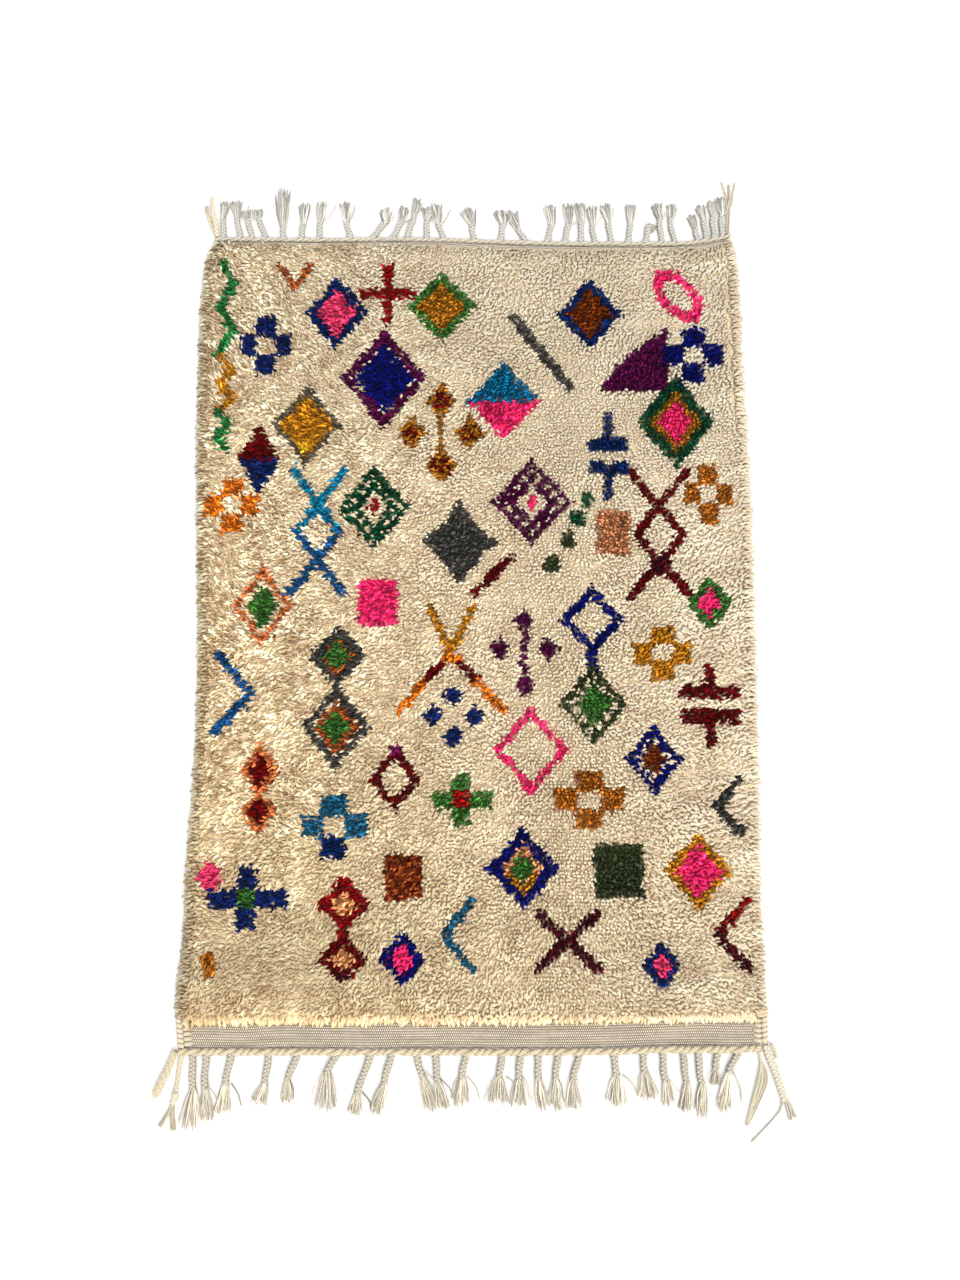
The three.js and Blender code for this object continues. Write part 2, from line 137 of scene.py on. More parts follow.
# %% The way from the layout to the frame
def near_left_corner():
    """The ground weave's near left corner, in the frame and in the layout."""
    points = [v.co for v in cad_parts["ground_weave"].data.vertices]
    found = min(points, key=lambda p: p.x + p.y)
    x = weave_sides(0)[0]
    return np.array([found.x, found.y]), np.array([x, out_of_square(x, 0.0)])


in_frame, in_layout = near_left_corner()
SHIFT = in_frame - in_layout * MM


def to_frame(points):
    """Layout places in millimetres (any array that ends in x, y, z) as metres in the frame."""
    x, y, z = points[..., 0], points[..., 1], points[..., 2]
    return np.stack([x * MM + SHIFT[0], out_of_square(x, y) * MM + SHIFT[1], z * MM], axis=-1)


print("layout shift:", SHIFT.round(5))

# %% [markdown]
# ## Floor, light and camera
# The rug lies on a plain pale floor and is looked at from above by somebody who stands at its near end.
# The wool only shows its tufts when light grazes it, so a soft, warm lamp stands low at the near end, and
# the pale world fills the shadows. Sun lamps light a large rug evenly, which a small lamp can't.

# %% Floor
FLOOR_SIZE = 14.0
bpy.ops.object.select_all(action="DESELECT")
bpy.ops.mesh.primitive_plane_add(size=FLOOR_SIZE)
floor = bpy.context.object
floor.name = "floor"
floor_paint = bpy.data.materials.new("pale_floor")
floor_paint.use_nodes = True
floor_shader = floor_paint.node_tree.nodes["Principled BSDF"]
floor_shader.inputs["Base Color"].default_value = (0.93, 0.93, 0.93, 1)
floor_shader.inputs["Roughness"].default_value = 0.9
floor.data.materials.append(floor_paint)
floor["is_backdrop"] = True
print("floor:", FLOOR_SIZE, "m square")

# %% Light
def lamp(name, strength, colour, softness, azimuth, elevation):
    """A sun lamp that shines from an azimuth (0 is +X, 90 is +Y) and a height in degrees."""
    bpy.ops.object.light_add(type="SUN")
    light = bpy.context.object
    light.name = name
    light.data.energy = strength
    light.data.color = colour
    light.data.angle = math.radians(softness)
    a, e = math.radians(azimuth), math.radians(elevation)
    towards = Vector((math.cos(a) * math.cos(e), math.sin(a) * math.cos(e), math.sin(e)))
    light.rotation_euler = towards.to_track_quat("Z", "Y").to_euler()


lamp("low_warm_lamp", strength=1.75, colour=(1.0, 0.87, 0.68), softness=35, azimuth=296, elevation=38)
lamp("high_soft_lamp", strength=0.6, colour=(1.0, 0.97, 0.93), softness=60, azimuth=20, elevation=65)
world = bpy.data.worlds.new("pale_world")
bpy.context.scene.world = world
world.use_nodes = True
sky = world.node_tree.nodes["Background"]
sky.inputs["Color"].default_value = (0.98, 0.98, 1.0, 1)
sky.inputs["Strength"].default_value = 0.87
bpy.context.scene.view_settings.view_transform = "Standard"

# %% Camera
CAMERA_HEIGHT = 1.69
CAMERA_TILT = 8.3  # degrees from straight down, towards the far end
CAMERA_FOOT = (12.0, 438.7)  # layout place below the camera, in millimetres
PICTURE_HEIGHT = 1280.0  # in pixels
FOCAL_PIXELS = 961.0  # the focal length, in pixels of that picture
SENSOR = 36.0
bpy.ops.object.camera_add()
camera = bpy.context.object
camera.data.sensor_fit = "VERTICAL"
camera.data.sensor_height = SENSOR
camera.data.lens = SENSOR * FOCAL_PIXELS / PICTURE_HEIGHT
camera.location = (CAMERA_FOOT[0] * MM + SHIFT[0], CAMERA_FOOT[1] * MM + SHIFT[1], CAMERA_HEIGHT)
camera.rotation_euler = (math.radians(CAMERA_TILT), 0, 0)
bpy.context.scene.camera = camera
print("camera at", tuple(round(v, 3) for v in camera.location))

# %% [markdown]
# ## Dyes
# The wool is undyed cream, and the figures are knotted in bright home-dyed yarns.
# Each dye is a screen colour, turned into the linear values that Blender works in.

# %% The dyed wools
DYES = {
    "cream": (238, 229, 209), "pink": (232, 44, 108), "light_pink": (222, 62, 108), "navy": (14, 32, 90),
    "royal": (6, 13, 94), "deep_blue": (6, 32, 84), "dark_red": (86, 3, 6), "crimson": (122, 8, 12),
    "maroon": (64, 8, 22), "red": (150, 12, 16), "emerald": (36, 118, 62), "green": (56, 104, 44),
    "bottle": (10, 64, 40), "gold": (178, 120, 26), "ochre": (150, 97, 22), "yellow": (250, 214, 40),
    "orange": (205, 112, 26), "tawny": (162, 96, 28), "brown": (98, 42, 4), "bark": (96, 32, 12),
    "chestnut": (150, 74, 32), "turquoise": (7, 98, 138), "blue": (26, 80, 134), "sky": (10, 122, 162),
    "teal": (28, 88, 120), "purple": (72, 7, 56), "charcoal": (62, 62, 60), "grey": (88, 84, 72),
    "olive": (48, 58, 34), "rust": (192, 108, 60), "peach": (206, 144, 98), "rose": (180, 121, 84),
    "magenta": (130, 22, 100),
}
DYE_NAMES = list(DYES)


def linear(colour):
    """A screen colour from 0 to 255 as linear values from 0 to 1."""
    c = np.asarray(colour, float) / 255
    return np.where(c <= 0.04045, c / 12.92, ((c + 0.055) / 1.055) ** 2.4)


DYE_VALUES = np.array([linear(DYES[name]) for name in DYE_NAMES])
print(len(DYES), "dyes")

# %% [markdown]
# ## The figures
# The weaver ties traditional figures from memory: lozenges inside lozenges, crosses, four blocks round a
# cream heart, zigzags and chevrons. Each kind is drawn here by a small function with a plain rule of its
# own, and a row in a list only says a figure's kind, its middle and size in millimetres, to the nearest 5,
# and its wools. The function says which wool a knot at any place gets, so a figure is as crisp as its
# knots and no more.

# %% Kinds of figure: plain shapes
DRAWN_OUT = 0.95  # below 1 a lozenge's sides curve in and its tips are drawn out


def across(x, y, cx, cy, width, length):
    """Places measured from a figure's middle, as shares of its half width and half length."""
    return (x - cx) / (width / 2), (y - cy) / (length / 2)


def lozenge_size(u, v, drawn_out=DRAWN_OUT):
    """0 in the middle of a lozenge and 1 at its edge."""
    return (abs(u) ** drawn_out + abs(v) ** drawn_out) ** (1 / drawn_out)


def lozenge(x, y, cx, cy, width, length, *rings):
    """Lozenges inside each other, each a share of the first one's size and a wool."""
    u, v = across(x, y, cx, cy, width, length)
    size = lozenge_size(u, v)
    for share, wool in rings:
        if wool == "flecks":  # a cream line that is tied only here and there
            yield (size < share) & (np.sin(12 * np.arctan2(u, v)) > -0.2), "cream"
        else:
            yield size < share, wool


def star(x, y, cx, cy, width, length, wool):
    """A lozenge whose sides curve in so far that it has four points."""
    yield lozenge_size(*across(x, y, cx, cy, width, length), 0.78) < 1, wool


def halves(x, y, cx, cy, width, length, far_wool, near_wool):
    """A lozenge whose far half and near half differ."""
    u, v = across(x, y, cx, cy, width, length)
    yield (lozenge_size(u, v) < 1) & (v > 0), far_wool
    yield (lozenge_size(u, v) < 1) & (v <= 0), near_wool


def patch(x, y, cx, cy, width, length, wool, mixed_with=None):
    """A rectangle, in one wool or with knots of another all over it."""
    inside = (abs(x - cx) < width / 2) & (abs(y - cy) < length / 2)
    yield inside, wool
    if mixed_with:
        yield inside & (np.sin(x / 3.1) * np.sin(y / 3.7) > 0), mixed_with


def blob(x, y, cx, cy, width, length, wool):
    """A small round spot."""
    u, v = across(x, y, cx, cy, width, length)
    yield u**2 + v**2 < 1, wool


def wedge(x, y, cx, cy, width, length, wool):
    """Half a rectangle: the side to the right of its slanting edge, which bulges."""
    u, v = across(x, y, cx, cy, width, length)
    bulge = 0.3 * (1 - ((u + v) / 2) ** 2)
    yield (abs(u) < 1) & (abs(v) < 1) & (u > v - bulge), wool


def ring(x, y, cx, cy, width, length, slant, bar, wool):
    """A slanting oval ring."""
    a = math.radians(slant)
    u = ((x - cx) * math.cos(a) + (y - cy) * math.sin(a)) / (width / 2)
    v = ((y - cy) * math.cos(a) - (x - cx) * math.sin(a)) / (length / 2)
    size = np.sqrt(u**2 + v**2)
    inner = 1 - 2 * bar / min(width, length)
    yield (size < 1) & (size > inner), wool


print("plain shapes: lozenge, star, halves, patch, blob, wedge, ring")

# %% Kinds of figure: groups of shapes
def lattice(x, y, cx, cy, width, length, wool, heart):
    """A lozenge with a row of cream beads along each side and a heart in a cream field."""
    u, v = across(x, y, cx, cy, width, length)
    size = lozenge_size(u, v)
    beads = np.cos((abs(u) - abs(v)) / np.maximum(size, 0.01) * 4 * math.pi) > 0.1
    yield size < 1, wool
    yield (abs(size - 0.7) < 0.085) & beads, "cream"
    yield size < 0.4, "cream"
    yield lozenge_size(u * 1.3, v * 0.85) < 0.2, heart


def blocks(x, y, cx, cy, width, length, wool, near_wool=None):
    """Four blocks that touch at their corners, round a cream heart. The near one may differ."""
    u, v = across(x, y, cx, cy, width, length)
    yield (abs(u) < 0.4) & (v > 0.3) & (v < 1), wool
    yield (abs(u) < 0.4) & (v < -0.3) & (v > -1), near_wool or wool
    yield (abs(v) < 0.38) & (abs(u) > 0.34) & (abs(u) < 1), wool


def four_lozenges(x, y, cx, cy, width, length, wool, heart=None, stem=0):
    """Four small lozenges round a middle, some with a heart and with a stem between them."""
    for step_x, step_y in ((0, 1), (-1, 0), (1, 0), (0, -1)):
        at = (cx + step_x * width * 0.32, cy + step_y * length * 0.32, width * 0.36, length * 0.36)
        yield from lozenge(x, y, *at, (1, wool))
        if heart:
            yield from patch(x, y, *at[:2], width * 0.2, length * 0.16, wool, heart)
    if stem:
        yield from patch(x, y, cx, cy, stem, length / 2, wool)


def cross(x, y, cx, cy, width, length, bar, wool, heart=None):
    """An upright cross, with a heart where its bars meet."""
    u, v = abs(x - cx), abs(y - cy)
    yield ((u < bar / 2) & (v < length / 2)) | ((v < bar / 2) & (u < width / 2)), wool
    if heart:
        yield (u < bar / 2) & (v < bar / 2), heart


def tees(x, y, cx, cy, width, length, gap, bar, wool):
    """Two bars across, with a stem out of each of them."""
    for middle in (cy + gap / 2, cy - gap / 2):
        yield from patch(x, y, cx, middle, width, bar * 1.4, wool)
    yield (abs(x - cx) < bar / 2) & (abs(y - cy) < length / 2) & (abs(y - cy) > gap / 2), wool


def sprig(x, y, cx, cy, width, length, wool):
    """A stem with a small lozenge at each end and one at each side."""
    yield from patch(x, y, cx, cy, 13, length * 0.7, wool)
    for u, v in ((0, 0.4), (0, -0.38), (-0.36, 0.06), (0.36, 0.06)):
        at = (cx + u * width, cy + v * length)
        yield from lozenge(x, y, *at, width * 0.33, length * 0.32, (1, wool))


print("groups: lattice, blocks, four lozenges, cross, tees, sprig")

# %% Kinds of figure: lines
def line(x, y, bar, *places):
    """Where the knots of a line are that joins these places."""
    near = np.full(np.shape(x), np.inf)
    for (ax, ay), (bx, by) in zip(places, places[1:]):
        along = np.array([bx - ax, by - ay], float)
        t = ramp(((x - ax) * along[0] + (y - ay) * along[1]) / (along @ along))
        near = np.minimum(near, np.hypot(x - ax - t * along[0], y - ay - t * along[1]))
    return near < bar / 2


def slash(x, y, cx, cy, width, length, bar, wool):
    """A slanting line. It falls to the right, or to the left where its width is below 0."""
    ends = (cx - width / 2, cy + length / 2), (cx + width / 2, cy - length / 2)
    yield line(x, y, bar, *ends), wool


def zigzag(x, y, cx, cy, width, length, bar, strokes, wool):
    """A line of even strokes from side to side, starting at the far left."""
    steps = range(strokes + 1)
    places = [(cx + width / 2 * (-1) ** (n + 1), cy + length * (0.5 - n / strokes)) for n in steps]
    yield line(x, y, bar, *places), wool


def chevron(x, y, cx, cy, width, length, bar, far_wool, near_wool=None):
    """Two strokes that meet at the right, or at the left where the width is below 0."""
    ends, point = cx - width / 2, (cx + width / 2, cy)
    yield line(x, y, bar, (ends, cy + length / 2), point), far_wool
    yield line(x, y, bar, point, (ends, cy - length / 2)), near_wool or far_wool


def vee(x, y, cx, cy, width, length, bar, wool):
    """Two strokes that meet at the near end."""
    far = cy + length / 2
    places = (cx - width / 2, far), (cx, cy - length / 2), (cx + width / 2, far)
    yield line(x, y, bar, *places), wool


def saltire(x, y, cx, cy, width, length, bar, wool):
    """A slanting cross."""
    yield from slash(x, y, cx, cy, width, length, bar, wool)
    yield from slash(x, y, cx, cy, -width, length, bar, wool)


def branch(x, y, cx, cy, width, length, bar, far_wool, near_wool, heart):
    """A small vee whose point spreads into two long legs, dyed in three wools."""
    yield from vee(x, y, cx, cy + length * 0.28, width * 0.42, length * 0.44, bar, far_wool)
    for side in (-1, 1):
        foot = (cx + side * width / 2, cy - length / 2)
        knee = (cx + side * width * 0.22, cy - length * 0.18)
        yield line(x, y, bar, (cx, cy + length * 0.06), foot), near_wool
        yield line(x, y, bar + 2, (cx + side * width * 0.1, cy - length * 0.06), knee), heart


def knotted_figure(x, y, cx, cy, width, length, bar, far_wool, near_wool=None):
    """Raised arms, an open lozenge for a body, and legs apart."""
    arms, body, legs = cy + length * 0.22, cy, cy - length * 0.22
    for side in (-1, 1):
        hand, hip = cx + side * width * 0.45, (cx + side * width * 0.38, body)
        yield line(x, y, bar, (hand, cy + length / 2), (cx, arms), hip), far_wool
        foot = (cx + side * width / 2, cy - length / 2)
        yield line(x, y, bar, hip, (cx, legs), foot), near_wool or far_wool


print("lines: slash, zigzag, chevron, vee, saltire, branch, knotted figure")

# %% The figures, from the far end to the near end
FIGURES = [
    (zigzag, -460, 1310, 25, 180, 17, 4, "emerald"),
    (zigzag, -455, 1160, 25, 110, 14, 4, "gold"),
    (zigzag, -460, 1070, 25, 70, 15, 3, "emerald"),
    (vee, -335, 1370, 60, 40, 13, "chestnut"),
    (lozenge, -255, 1300, 120, 150, (1, "deep_blue"), (0.65, "light_pink")),
    (cross, -160, 1335, 105, 115, 19, "crimson"),
    (lozenge, -60, 1310, 135, 140, (1, "green"), (0.7, "ochre")),
    (lozenge, 215, 1295, 125, 145, (1, "deep_blue"), (0.7, "brown")),
    (ring, 380, 1330, 70, 125, 38, 16, "pink"),
    (blocks, -385, 1235, 95, 110, "navy"),
    (lozenge, -165, 1170, 160, 200, (1, "purple"), (0.75, "flecks"), (0.7, "royal")),
    (slash, 125, 1220, 105, 135, 18, "charcoal"),
    (wedge, 295, 1205, 125, 120, "purple"),
    (blocks, 405, 1215, 110, 105, "royal"),
    (four_lozenges, -60, 1065, 165, 190, "ochre", "dark_red", 11),
    (halves, 55, 1125, 135, 155, "turquoise", "pink"),
    (lozenge, -305, 1080, 130, 155, (1, "grey"), (0.8, "gold")),
    (blob, -310, 1040, 15, 15, "yellow"),
    (halves, -390, 1015, 80, 140, "dark_red", "navy"),
    (lozenge, 370, 1085, 145, 185, (1, "bottle"), (0.65, "ochre"), (0.45, "pink")),
    (tees, 245, 1020, 75, 165, 45, 17, "deep_blue"),
    (blocks, -435, 930, 95, 100, "orange"),
    (knotted_figure, -280, 880, 100, 230, 15, "sky", "blue"),
    (lattice, -180, 925, 135, 160, "bottle", "red"),
    (star, -25, 860, 150, 170, "charcoal"),
    (lattice, 105, 935, 150, 165, "purple", "pink"),
    (blob, 205, 940, 25, 35, "bottle"),
    (blob, 190, 905, 35, 30, "bottle"),
    (blob, 170, 865, 30, 30, "olive"),
    (blob, 140, 820, 30, 35, "olive"),
    (patch, 250, 880, 60, 80, "rose"),
    (knotted_figure, 335, 875, 110, 230, 15, "dark_red"),
    (patch, 335, 820, 35, 35, "maroon"),
    (blocks, 425, 950, 85, 110, "tawny"),
    (slash, 35, 800, -65, 65, 17, "dark_red"),
    (lozenge, -375, 745, 110, 150, (1, "rust"), (0.75, "cream"), (0.55, "green")),
    (patch, -170, 750, 70, 85, "pink"),
    (lozenge, 420, 750, 90, 100, (1, "green"), (0.55, "pink")),
    (branch, -40, 650, 185, 185, 14, "gold", "orange", "dark_red"),
    (sprig, 90, 660, 120, 145, "purple"),
    (lozenge, 210, 720, 120, 125, (1, "royal"), (0.65, "cream")),
    (patch, 210, 650, 20, 55, "royal"),
    (lozenge, 210, 570, 120, 145, (1, "olive"), (0.8, "flecks"), (0.55, "green")),
    (blocks, 335, 660, 105, 95, "gold"),
    (tees, 415, 570, 105, 140, 43, 18, "dark_red"),
    (lozenge, -240, 655, 105, 115, (1, "charcoal"), (0.6, "chestnut"), (0.5, "green")),
    (lozenge, -240, 530, 125, 150, (1, "charcoal"), (0.75, "flecks"), (0.65, "chestnut"), (0.45, "green")),
    (chevron, -420, 590, 60, 135, 16, "blue"),
    (four_lozenges, -35, 550, 115, 110, "navy"),
    (lozenge, 100, 490, 135, 160, (1, "pink"), (0.75, "cream")),
    (lozenge, 315, 475, 105, 125, (1, "royal"), (0.7, "flecks"), (0.45, "brown")),
    (lozenge, -370, 455, 70, 105, (1, "rust"), (0.6, "dark_red")),
    (lozenge, -370, 385, 70, 80, (1, "rust"), (0.6, "dark_red")),
    (lozenge, -135, 440, 95, 115, (1, "dark_red"), (0.6, "cream")),
    (blob, -135, 490, 20, 20, "magenta"),
    (cross, -20, 405, 105, 90, 29, "green", "red"),
    (blocks, -240, 360, 115, 105, "teal", "deep_blue"),
    (blocks, 200, 405, 120, 100, "tawny"),
    (chevron, 440, 395, -40, 90, 15, "charcoal"),
    (lozenge, 85, 290, 130, 140, (1, "royal"), (0.6, "peach"), (0.4, "green")),
    (vee, 85, 265, 45, 25, 12, "gold"),
    (patch, 250, 285, 85, 90, "olive"),
    (lozenge, 385, 285, 120, 135, (1, "gold"), (0.7, "pink")),
    (blob, -450, 275, 40, 45, "light_pink"),
    (cross, -385, 240, 135, 105, 30, "navy", "green"),
    (patch, -120, 275, 65, 75, "chestnut", "bark"),
    (lozenge, -220, 230, 95, 95, (1, "crimson"), (0.5, "peach")),
    (patch, -220, 180, 20, 35, "crimson"),
    (lozenge, -220, 140, 90, 80, (1, "dark_red"), (0.55, "peach")),
    (blob, -220, 110, 25, 20, "maroon"),
    (lozenge, -120, 140, 80, 95, (1, "royal"), (0.55, "pink")),
    (chevron, -25, 180, -50, 115, 14, "teal"),
    (saltire, 160, 170, 100, 90, 17, "maroon"),
    (lozenge, 320, 130, 70, 85, (1, "navy"), (0.5, "light_pink")),
    (chevron, 440, 180, -50, 110, 15, "crimson", "maroon"),
    (slash, -445, 130, 5, 20, 22, "tawny"),
]
print(len(FIGURES), "figures")

# %% Which wool a place has
UNEVEN_HAND = 2.6  # how far a figure's edge strays, in millimetres
NOISE_CELLS = 63  # along each side of the noise's square, which then repeats
NOISE_START = (31.5, 3.5)  # where the layout's zero lies in that square


def restless(x, y, size, seed):
    """Smooth noise from -1 to 1, on a lattice of this size in millimetres."""
    corners = np.random.default_rng(seed).uniform(-1, 1, (NOISE_CELLS + 1, NOISE_CELLS + 1))
    u, v = np.asarray(x) / size + NOISE_START[0], np.asarray(y) / size + NOISE_START[1]
    i, j = np.floor(u).astype(int) % NOISE_CELLS, np.floor(v).astype(int) % NOISE_CELLS
    s, t = u - np.floor(u), v - np.floor(v)
    s, t = s * s * (3 - 2 * s), t * t * (3 - 2 * t)
    low = corners[i, j] * (1 - s) + corners[i + 1, j] * s
    high = corners[i, j + 1] * (1 - s) + corners[i + 1, j + 1] * s
    return low * (1 - t) + high * t


def wool_at(x, y):
    """The number of the wool at each place. Figures are tied by hand, so their edges stray a little."""
    y = out_of_square(x, y)
    x, y = x + UNEVEN_HAND * restless(x, y, 13, 21), y + UNEVEN_HAND * restless(x, y, 13, 22)
    wools = np.zeros(np.shape(x), int)
    for kind, *facts in FIGURES:
        for inside, name in kind(x, y, *facts):
            wools[inside] = DYE_NAMES.index(name)
    return wools


print("wool in the middle:", DYE_NAMES[wool_at(np.zeros(1), np.full(1, RUG_LENGTH / 2))[0]])

# %% [markdown]
# ## Meshes from arrays
# A rug is thousands of yarns, and Blender's operators are slow when they are called thousands of times.
# So one function works out all the rings of all the yarns of a piece at once, with numpy, and another one
# hands the points and faces to a single mesh. Every yarn is a closed tube, so nothing is open at its end.

# %% From arrays to tubes
UP = np.array([0.0, 0.0, 1.0])


def tubes(paths, widths, heights, sides, up=UP):
    """Rings of points, quads between them and caps: (points, face sets, corner UVs in millimetres).
    paths is (yarns, stops, 3). widths and heights are (yarns, stops), across the yarn and upwards."""
    paths = np.asarray(paths, float)
    yarns, stops = paths.shape[:2]
    along = np.gradient(paths, axis=1)
    along /= np.linalg.norm(along, axis=2, keepdims=True)
    side = np.cross(along, up)
    side /= np.linalg.norm(side, axis=2, keepdims=True)
    over = np.cross(side, along)
    turn = 2 * np.pi * (np.arange(sides) + 0.5) / sides
    if sides == 3:
        turn = np.pi * np.array([0.5, 7 / 6, 11 / 6])  # the ridge is on top
    w = np.broadcast_to(widths, (yarns, stops))[..., None, None] / 2
    h = np.broadcast_to(heights, (yarns, stops))[..., None, None] / 2
    ring = np.cos(turn)[:, None] * side[:, :, None] * w + np.sin(turn)[:, None] * over[:, :, None] * h
    points = (paths[:, :, None] + ring).reshape(-1, 3)
    at = np.arange(yarns * stops * sides).reshape(yarns, stops, sides)
    here, there = at[:, :-1], at[:, 1:]
    quads = np.stack([here, there, np.roll(there, -1, 2), np.roll(here, -1, 2)], -1).reshape(-1, 4)
    caps = np.concatenate([at[:, 0], at[:, -1, ::-1]])
    run = np.linalg.norm(np.diff(paths, axis=1), axis=2).cumsum(1)
    run = np.concatenate([np.zeros((yarns, 1)), run], 1)[..., None] * np.ones(sides)
    turned = np.arange(sides) / sides * np.ones((yarns, stops, 1))
    u = np.stack([turned[:, :-1], turned[:, 1:], turned[:, 1:] + 1 / sides, turned[:, :-1] + 1 / sides], -1)
    v = np.stack([run[:, :-1], run[:, 1:], run[:, 1:], run[:, :-1]], -1)
    uv = np.concatenate([np.stack([u, v], -1).reshape(-1, 2), np.zeros((caps.size, 2))])
    return points, [quads, caps], uv


def put_together(parts):
    """Several results of tubes() as one."""
    points, faces, uvs, first = [], [], [], 0
    for some_points, face_sets, uv in parts:
        points.append(some_points)
        corners = 0
        for faces_of_a_kind in face_sets:
            count = faces_of_a_kind.size
            faces.append(faces_of_a_kind + first)
            uvs.append(uv[corners:corners + count])
            corners += count
        first += len(some_points)
    return np.concatenate(points), faces, np.concatenate(uvs)


print("one straight yarn has", len(tubes([[(0, 0, 0), (1, 0, 0)]], 1, 1, 4)[0]), "points")

# %% From tubes to a finished piece
WARM_SHADE = np.array([1.0, 0.94, 0.84])  # light that comes out of a groove is warmer


def piece(name, points, face_sets, material, nodes, uv, colours):
    """Makes the mesh of a finished piece from layout millimetres and gives it to its CAD nodes."""
    mesh = bpy.data.meshes.new(name)
    points[:, 2] = np.maximum(points[:, 2], 0)  # what would dip into the floor is flat there
    corners = np.concatenate([f.ravel() for f in face_sets]).astype(np.int32)
    sizes = np.concatenate([np.full(len(f), f.shape[1]) for f in face_sets])
    mesh.vertices.add(len(points))
    mesh.vertices.foreach_set("co", to_frame(points).astype(np.float32).ravel())
    mesh.loops.add(len(corners))
    mesh.loops.foreach_set("vertex_index", corners)
    mesh.polygons.add(len(sizes))
    mesh.polygons.foreach_set("loop_start", (np.cumsum(sizes) - sizes).astype(np.int32))
    mesh.update(calc_edges=True)
    mesh.shade_smooth()
    mesh.uv_layers.new(name="Yarn").data.foreach_set("uv", uv.astype(np.float32).ravel())
    give_colours(mesh, colours)
    mesh.materials.append(material)
    made = bpy.data.objects.new(name, mesh)
    bpy.context.scene.collection.objects.link(made)
    finished(made, nodes)


def give_colours(mesh, colours):
    """One linear colour for each point of a mesh, as the attribute that the wool materials read."""
    rgba = np.ones((len(colours), 4), np.float32)
    rgba[:, :3] = colours
    mesh.color_attributes.new("Wool", "FLOAT_COLOR", "POINT").data.foreach_set("color", rgba.ravel())


def groove_shade(points, top, deep):
    """Painted shade in a piece's low grooves: a colour for each point, from deep at the floor to 1 at the
    top.
    """
    unshaded = ramp(points[:, 2] / top)[:, None] ** 1.4
    return 1 - (1 - unshaded) * (1 - deep * WARM_SHADE)


def finished(made, nodes):
    """Gives a piece its body and the CAD nodes that it replaces."""
    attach(made, "root")
    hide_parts(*nodes)


# %% [markdown]
# ## Materials
# Wool and cotton differ in their fibres: wool is a little glossy and fuzzy, cotton is flat and chalky.
# Two node groups carry what all of the yarns share. One is the fine fuzz of fibres, and the other is
# the twist that spinning leaves, which runs round a yarn and follows it through its UV map.

# %% Node group: fibres
def new_group(name, inputs, outputs):
    """An empty node group with number sockets, and its input and output nodes."""
    group = bpy.data.node_groups.new(name, "ShaderNodeTree")
    for label, value in inputs:
        group.interface.new_socket(label, in_out="INPUT", socket_type="NodeSocketFloat").default_value = value
    for label in outputs:
        group.interface.new_socket(label, in_out="OUTPUT", socket_type="NodeSocketFloat")
    return group, group.nodes.new("NodeGroupInput"), group.nodes.new("NodeGroupOutput")


def maths(tree, operation, *values):
    """A Math node. Its values are numbers or other nodes' sockets."""
    node = tree.nodes.new("ShaderNodeMath")
    node.operation = operation
    for socket, value in zip(node.inputs, values):
        if isinstance(value, (int, float)):
            socket.default_value = value
        else:
            tree.links.new(value, socket)
    return node.outputs[0]


fibres, fibres_in, fibres_out = new_group("fibres", [("Scale", 900.0)], ["Shade", "Height"])
fibre_place = fibres.nodes.new("ShaderNodeTexCoord")
fibre_noise = fibres.nodes.new("ShaderNodeTexNoise")
fibre_noise.inputs["Detail"].default_value = 3
fibre_noise.inputs["Roughness"].default_value = 0.7
fibres.links.new(fibre_place.outputs["Object"], fibre_noise.inputs["Vector"])
fibres.links.new(fibres_in.outputs["Scale"], fibre_noise.inputs["Scale"])
fibres.links.new(fibre_noise.outputs["Fac"], fibres_out.inputs["Height"])
fibre_shade = maths(fibres, "MULTIPLY_ADD", fibre_noise.outputs["Fac"], 0.6, 0.7)
fibres.links.new(fibre_shade, fibres_out.inputs["Shade"])
print("group fibres")

# %% Node group: spun twist
def yarn_map(tree):
    """The two sockets of the map that runs round and along a yarn, or across and along the cloth."""
    place = tree.nodes.new("ShaderNodeUVMap")
    place.uv_map = "Yarn"
    parts = tree.nodes.new("ShaderNodeSeparateXYZ")
    tree.links.new(place.outputs["UV"], parts.inputs[0])
    return parts.outputs["X"], parts.outputs["Y"]


def ridges(tree, value):
    """Round ridges with sharp grooves between them, one for each whole number of the value."""
    return maths(tree, "ABSOLUTE", maths(tree, "SINE", maths(tree, "MULTIPLY", value, math.pi)))


spun, spun_in, spun_out = new_group(
    "spun_twist", [("Plies", 2.0), ("Turns per mm", 0.3), ("Depth", 0.3)], ["Shade", "Height"]
)
round_yarn, along_yarn = yarn_map(spun)
ply_turns = maths(spun, "MULTIPLY", round_yarn, spun_in.outputs["Plies"])
twist_turns = maths(spun, "MULTIPLY", along_yarn, spun_in.outputs["Turns per mm"])
ridge = ridges(spun, maths(spun, "ADD", ply_turns, twist_turns))
spun.links.new(ridge, spun_out.inputs["Height"])
# painted shade: the grooves between the plies are painted darker, by the depth
dip = maths(spun, "MULTIPLY", maths(spun, "SUBTRACT", 1.0, ridge), spun_in.outputs["Depth"])
spun.links.new(maths(spun, "SUBTRACT", 1.0, dip), spun_out.inputs["Shade"])
print("group spun_twist")

# %% Helpers that build a material
BUMP_STRENGTH = 0.8


def new_material(name, roughness, sheen, gloss=0.25):
    """A material with its node tree and its Principled shader, set to plain values."""
    material = bpy.data.materials.new(name)
    material.use_nodes = True
    shader = material.node_tree.nodes["Principled BSDF"]
    shader.inputs["Roughness"].default_value = roughness
    shader.inputs["Sheen Weight"].default_value = sheen
    shader.inputs["Sheen Roughness"].default_value = 0.5
    shader.inputs["Specular IOR Level"].default_value = gloss
    return material, material.node_tree, shader


def use_group(tree, group, **values):
    """A node group put to work in a material. A line in a value's name stands for a space."""
    node = tree.nodes.new("ShaderNodeGroup")
    node.node_tree = group
    for label, value in values.items():
        node.inputs[label.replace("_", " ")].default_value = value
    return node


